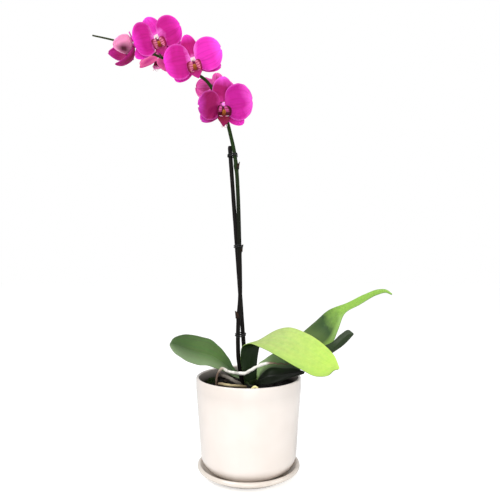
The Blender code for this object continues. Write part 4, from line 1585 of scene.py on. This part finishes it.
    def callus(self) -> Shape:
        """Return the two teeth between the side lobes."""
        teeth = []
        for side in (1, -1):
            route = self.bowl(side * np.array([0.6, 1.1, 1.3, 1.0]), np.array([-14.0, -11.6, -9.2, -7.4]),
                              np.array([4.8, 6.4, 8.0, 8.6]))
            teeth.append(tube(route, lambda t, c: 1.5 - 0.5 * t, rings=14, sides=14))
        return Shape.join(teeth)

    def cirri(self) -> Shape:
        """Return the two pale ridges beside the callus, which paint the highlights on the middle lobe's
        shoulders, and, where they show, the tip's tendrils.
        """
        threads = []
        foot = -self.lip_reach
        for side in (1, -1):
            tendril = self.bowl(side * np.array([0.4, 1.8, 3.6, 4.4, 3.6]),
                                foot + np.array([0.9, -1.0, -1.1, 0.7, 2.1]),
                                np.array([2.8, 3.4, 5.0, 6.6, 6.2]))
            # A pale ridge that stands in for a highlight on the middle lobe's shoulder.
            highlight_route = self.bowl(side * np.array([2.4, 4.2, 6.6]), np.array([-15.6, -15.2, -15.0]),
                              np.array([7.6, 8.0, 8.4]))
            if self.tendrils:
                threads.append(tube(tendril, lambda t, c: 0.36 - 0.18 * t, rings=30, sides=8))
            threads.append(tube(highlight_route, lambda t, c: self.highlight_ridge_radius * (1 - 0.6 * t), rings=12, sides=10))
        return Shape.join(threads)

    def column(self) -> Shape:
        """Return the arched column with its anther cap and the hollow under it."""
        top = self.column_foot + self.column_length
        route = [(0, 0, self.column_foot), (0, 0.5, 1.2), (0, 0.6, 3.6), (0, -0.1, top - 2.6)]
        club = tube(route, lambda t, c: np.interp(t, (0, 0.35, 0.8, 1), (1.6, 1.8, 2.2, 2.3)),
                    rings=30, sides=28)
        x, y, z = club.points.T
        hollow = np.exp(-((z - 4.2) / 1.1) ** 2 - (x / 1.1) ** 2) * (y < 0)
        club.points[:, 1] += self.hollow_depth * hollow
        collar = np.exp(-((z - (top - 2.7)) / 0.35) ** 2)
        club.points[:, :2] *= (1 - 0.10 * collar)[:, None]
        return club

    def stalk(self) -> Shape:
        """Return the stalk that carries the flower on the spike."""
        face = self.matrix() @ Vector((0, 0, 1))
        end = self.centre() + face * (self.column_foot * self.scale - GAP)
        start = Vector(self.joint)
        route = [start, start.lerp(end, 0.35) + Vector((0, 0, -1)), end - face * self.neck, end]
        return tube(route, lambda t, c: self.stalk_radius * (1 + 0.12 * np.cos(t * 6.3)),
                    rings=40, sides=16)

    def build(self) -> None:
        """Make and dress the flower's pieces."""
        for part, kind in TEPALS.items():
            node = f"{self.name}_{part}"
            finish = self.finishes.get(part, self.finish)
            make_piece(f"{node}_blade", self.placed(self.tepal(part)), finish, [node])
        lobes = Shape.join([self.side_lobe(1), self.side_lobe(-1)])
        for part, shape, finish, slot, nodes in (
                ("lip_side_lobes", lobes, self.lobe_finish, Slot.LIPS, []),
                ("lip_mid_lobe", self.mid_lobe(), self.mid_finish, Slot.LIPS, [f"{self.name}_lip"]),
                ("lip_callus", self.callus(), CALLUS, Slot.LIPS, []),
                ("lip_cirri_and_highlight_ridges", self.cirri(), CIRRUS_AND_HIGHLIGHT, Slot.LIPS, []),
                ("column_club", self.column(), self.column_finish, Slot.COLUMNS,
                 [f"{self.name}_column"])):
            make_piece(f"{self.name}_{part}", self.placed(shape), finish, nodes)
        make_piece(f"{self.name}_stalk", self.stalk(), STALK)


FLOWERS = (
    Flower("flower_1", turn=18, nod=20, roll=4, scale=1.0, cup=30, joint=(-32, 0, 470), seed=1,
           growth={"petal_left": (15, 0.86, 0.78), "sepal_left": (-6, 0.97, 1.0),
                   "dorsal_sepal": (2, 0.93, 1.25)}, lip_reach=28.5, highlight_ridge_radius=0.6, tendrils=True,
           lobe_finish=SHADED_LOBES, mid_finish=SHADED_MIDLOBE, column_finish=PINK_COLUMN,
           finishes={"petal_left": SHADED_PINK, "sepal_left": SHADED_PINK,
                     "petal_right": replace(PINK, name="petal_magenta_cool", throat="C02C94",
                                            middle="BC1690", outer="EE54D0"),
                     # Painted shade: flower 1's top sepal is darkened in its middle.
                     "dorsal_sepal": replace(PINK, name="sepal_magenta_painted_shade", throat="C42C8C",
                                             middle="A20F62", outer="FF58E4")}),
    Flower("flower_2", turn=2, nod=20, roll=17, scale=1.02, cup=24, joint=(-80, 0, 528), seed=2,
           growth={"petal_left": (4, 0.93, 0.91), "petal_right": (-7, 1.0, 0.86),
                   "dorsal_sepal": (0, 0.8, 0.95), "sepal_left": (-8, 0.95, 1.0),
                   "sepal_right": (12, 1.0, 1.0)}, lip_reach=24.0,
           finishes={"petal_right": LIT_PINK,
                     "dorsal_sepal": replace(PINK, name="sepal_magenta_cool", throat="E060B8",
                                             middle="B41070", outer="E838C0")}),
    Flower("flower_3", turn=14, nod=18, roll=24, scale=1.0, cup=34, joint=(-117, 0, 545), seed=3,
           growth={"petal_left": (4, 0.78, 0.9), "petal_right": (-5, 0.9, 0.82),
                   "dorsal_sepal": (8, 0.67, 1.1), "sepal_left": (-16, 1.08, 0.9)},
           finishes={"dorsal_sepal": LIT_PINK}),
    Flower("flower_4", turn=-82, nod=10, roll=0, scale=1.0, cup=100, joint=(-146, 0, 557.3), seed=4,
           growth={"petal_left": (6, 1.35, 0.7), "petal_right": (-30, 1.0, 0.6),
                   "dorsal_sepal": (-8, 0.4, 0.9), "sepal_right": (-34, 1.15, 0.85),
                   "sepal_left": (-15, 0.55, 0.9)},
           # Painted shade: this flower turns down into shade, so its faces are darker copies of the petal
           # colours.
           finish=replace(PINK, name="petal_magenta_backed", throat="B02878", middle="960F5C",
                          outer="C42C98", back="B82884",
                          back_heart="981860", back_rim_highlight="F8B0EC"),
           finishes={"dorsal_sepal": replace(LIT_PINK, name="sepal_painted_light_backed", back="FF78D8"),
                     # Painted light and shade: the near petal's back is pale where light falls on it, with
                     # painted shade low in its middle.
                     "petal_right": replace(PINK, name="petal_pale_backed", back="EE90BC",
                                            back_heart="4A1828", back_rim_highlight="FFD0F6", heart_place=0.4,
                                            heart_side=-0.45, vein_share=0.12),
                     # Painted shade: a darker copy for the sepal that hangs in shade.
                     "sepal_right": replace(PINK, name="sepal_crimson_painted_shade", throat="8A0F4A",
                                            middle="A0126C", outer="B02080", back="A0186C",
                                            back_heart="7A0C3C", back_rim_highlight="B83088")}),
    Flower("flower_5", turn=200, nod=15, roll=0, scale=0.85, cup=30, joint=(-55, 0, 512), seed=5,
           finish=replace(PINK, name="petal_pink_backed", middle="A80C5C", back="F060BC",
                          back_heart="A83478", back_rim_highlight="FFB0EC", vein_share=0.9)),
    Flower("flower_6", turn=175, nod=30, roll=15, scale=0.85, cup=40, joint=(-132, 0, 551.5), seed=6,
           tendrils=True, mid_finish=LIT_MIDLOBE,
           finish=replace(PINK, name="petal_salmon_backed", back="E4609C", back_heart="B82878",
                          vein_share=0.5)),
)


# ---------------------------------------------------------------------------
# Studio
# ---------------------------------------------------------------------------


@dataclass
class SoftLight:
    """A square soft box that looks at a point."""

    name: str
    place: Point
    target: Point
    size: float
    power: float
    colour: str = "FFFFFF"

    def build(self) -> None:
        """Add the light."""
        light = bpy.data.lights.new(self.name, "AREA")
        light.size = self.size
        light.energy = self.power
        light.color = linear(self.colour)[:3]
        lamp = place_object(self.name, light)
        lamp.location = self.place
        lamp.rotation_euler = (Vector(self.target) - Vector(self.place)).to_track_quat("-Z", "Y").to_euler()


@dataclass
class Studio:
    """A white sweep under soft light, and the camera that looks at the plant from the front."""

    camera_place: Point = (1.8, -626.0, 265.5)
    camera_rise: float = 2.01
    lens: float = 34.2
    floor_size: float = 12.0
    paper: StudioPaper = StudioPaper("paper_seamless_white")
    sky: float = 0.58
    lights: Sequence[SoftLight] = (
        SoftLight("key_box", (-0.85, -0.75, 1.35), (0.0, 0.0, 0.3), 0.7, 14.0),
        SoftLight("front_box", (0.1, -1.6, 0.6), (0.0, 0.0, 0.2), 0.9, 9.0),
        SoftLight("side_box", (1.1, -0.5, 0.5), (0.0, 0.0, 0.1), 0.6, 3.4),
    )

    def add_camera(self) -> None:
        """Add the camera."""
        lens = bpy.data.cameras.new("camera")
        lens.lens = self.lens
        lens.sensor_width = 36.0
        camera = place_object("camera", lens)
        camera.location = Vector(self.camera_place) * MM
        camera.rotation_euler = (math.radians(90 + self.camera_rise), 0, 0)
        bpy.context.scene.camera = camera

    def add_floor(self) -> None:
        """Add the paper that the saucer stands on."""
        mesh = bpy.data.meshes.new("floor_paper")
        shell = bmesh.new()
        bmesh.ops.create_grid(shell, x_segments=24, y_segments=24, size=self.floor_size / 2)
        shell.to_mesh(mesh)
        shell.free()
        mesh.materials.append(self.paper.material())
        floor = place_object("floor_paper", mesh)

    def add_sky(self) -> None:
        """Light from all round, which only the camera sees as plain white."""
        world = bpy.data.worlds.new("studio")
        world.use_nodes = True
        bpy.context.scene.world = world
        tree = world.node_tree
        ray = add_node(tree, "LightPath")
        level = add_node(tree, "MapRange", {"Value": ray.outputs["Is Camera Ray"], "To Min": self.sky})
        feed(tree.nodes["Background"], {"Color": linear("FFFFFF"), "Strength": level})

    def build(self) -> None:
        """Set up the studio."""
        self.add_camera()
        self.add_floor()
        self.add_sky()
        for light in self.lights:
            light.build()
        bpy.context.scene.view_settings.view_transform = "Standard"


def main() -> None:
    """Build the studio, then the pot and the plant from the crown upwards."""
    logging.basicConfig(level=logging.INFO, format="%(name)s: %(message)s")
    Studio().build()
    pot = Pot()
    spike, stake = FlowerSpike(), Stake()
    ties = [TwistTie("tie_bottom", 176.0, spike, stake), TwistTie("tie_middle", 292.0, spike, stake),
            TwistTie("tie_top", 413.5, spike, stake)]
    for assembly in (Saucer(), pot, GrowingMedium(pot), Crown(), *LEAVES, *ROOTS, spike, stake, *ties,
                     *FLOWERS):
        assembly.build()


if __name__ == "__main__":
    main()
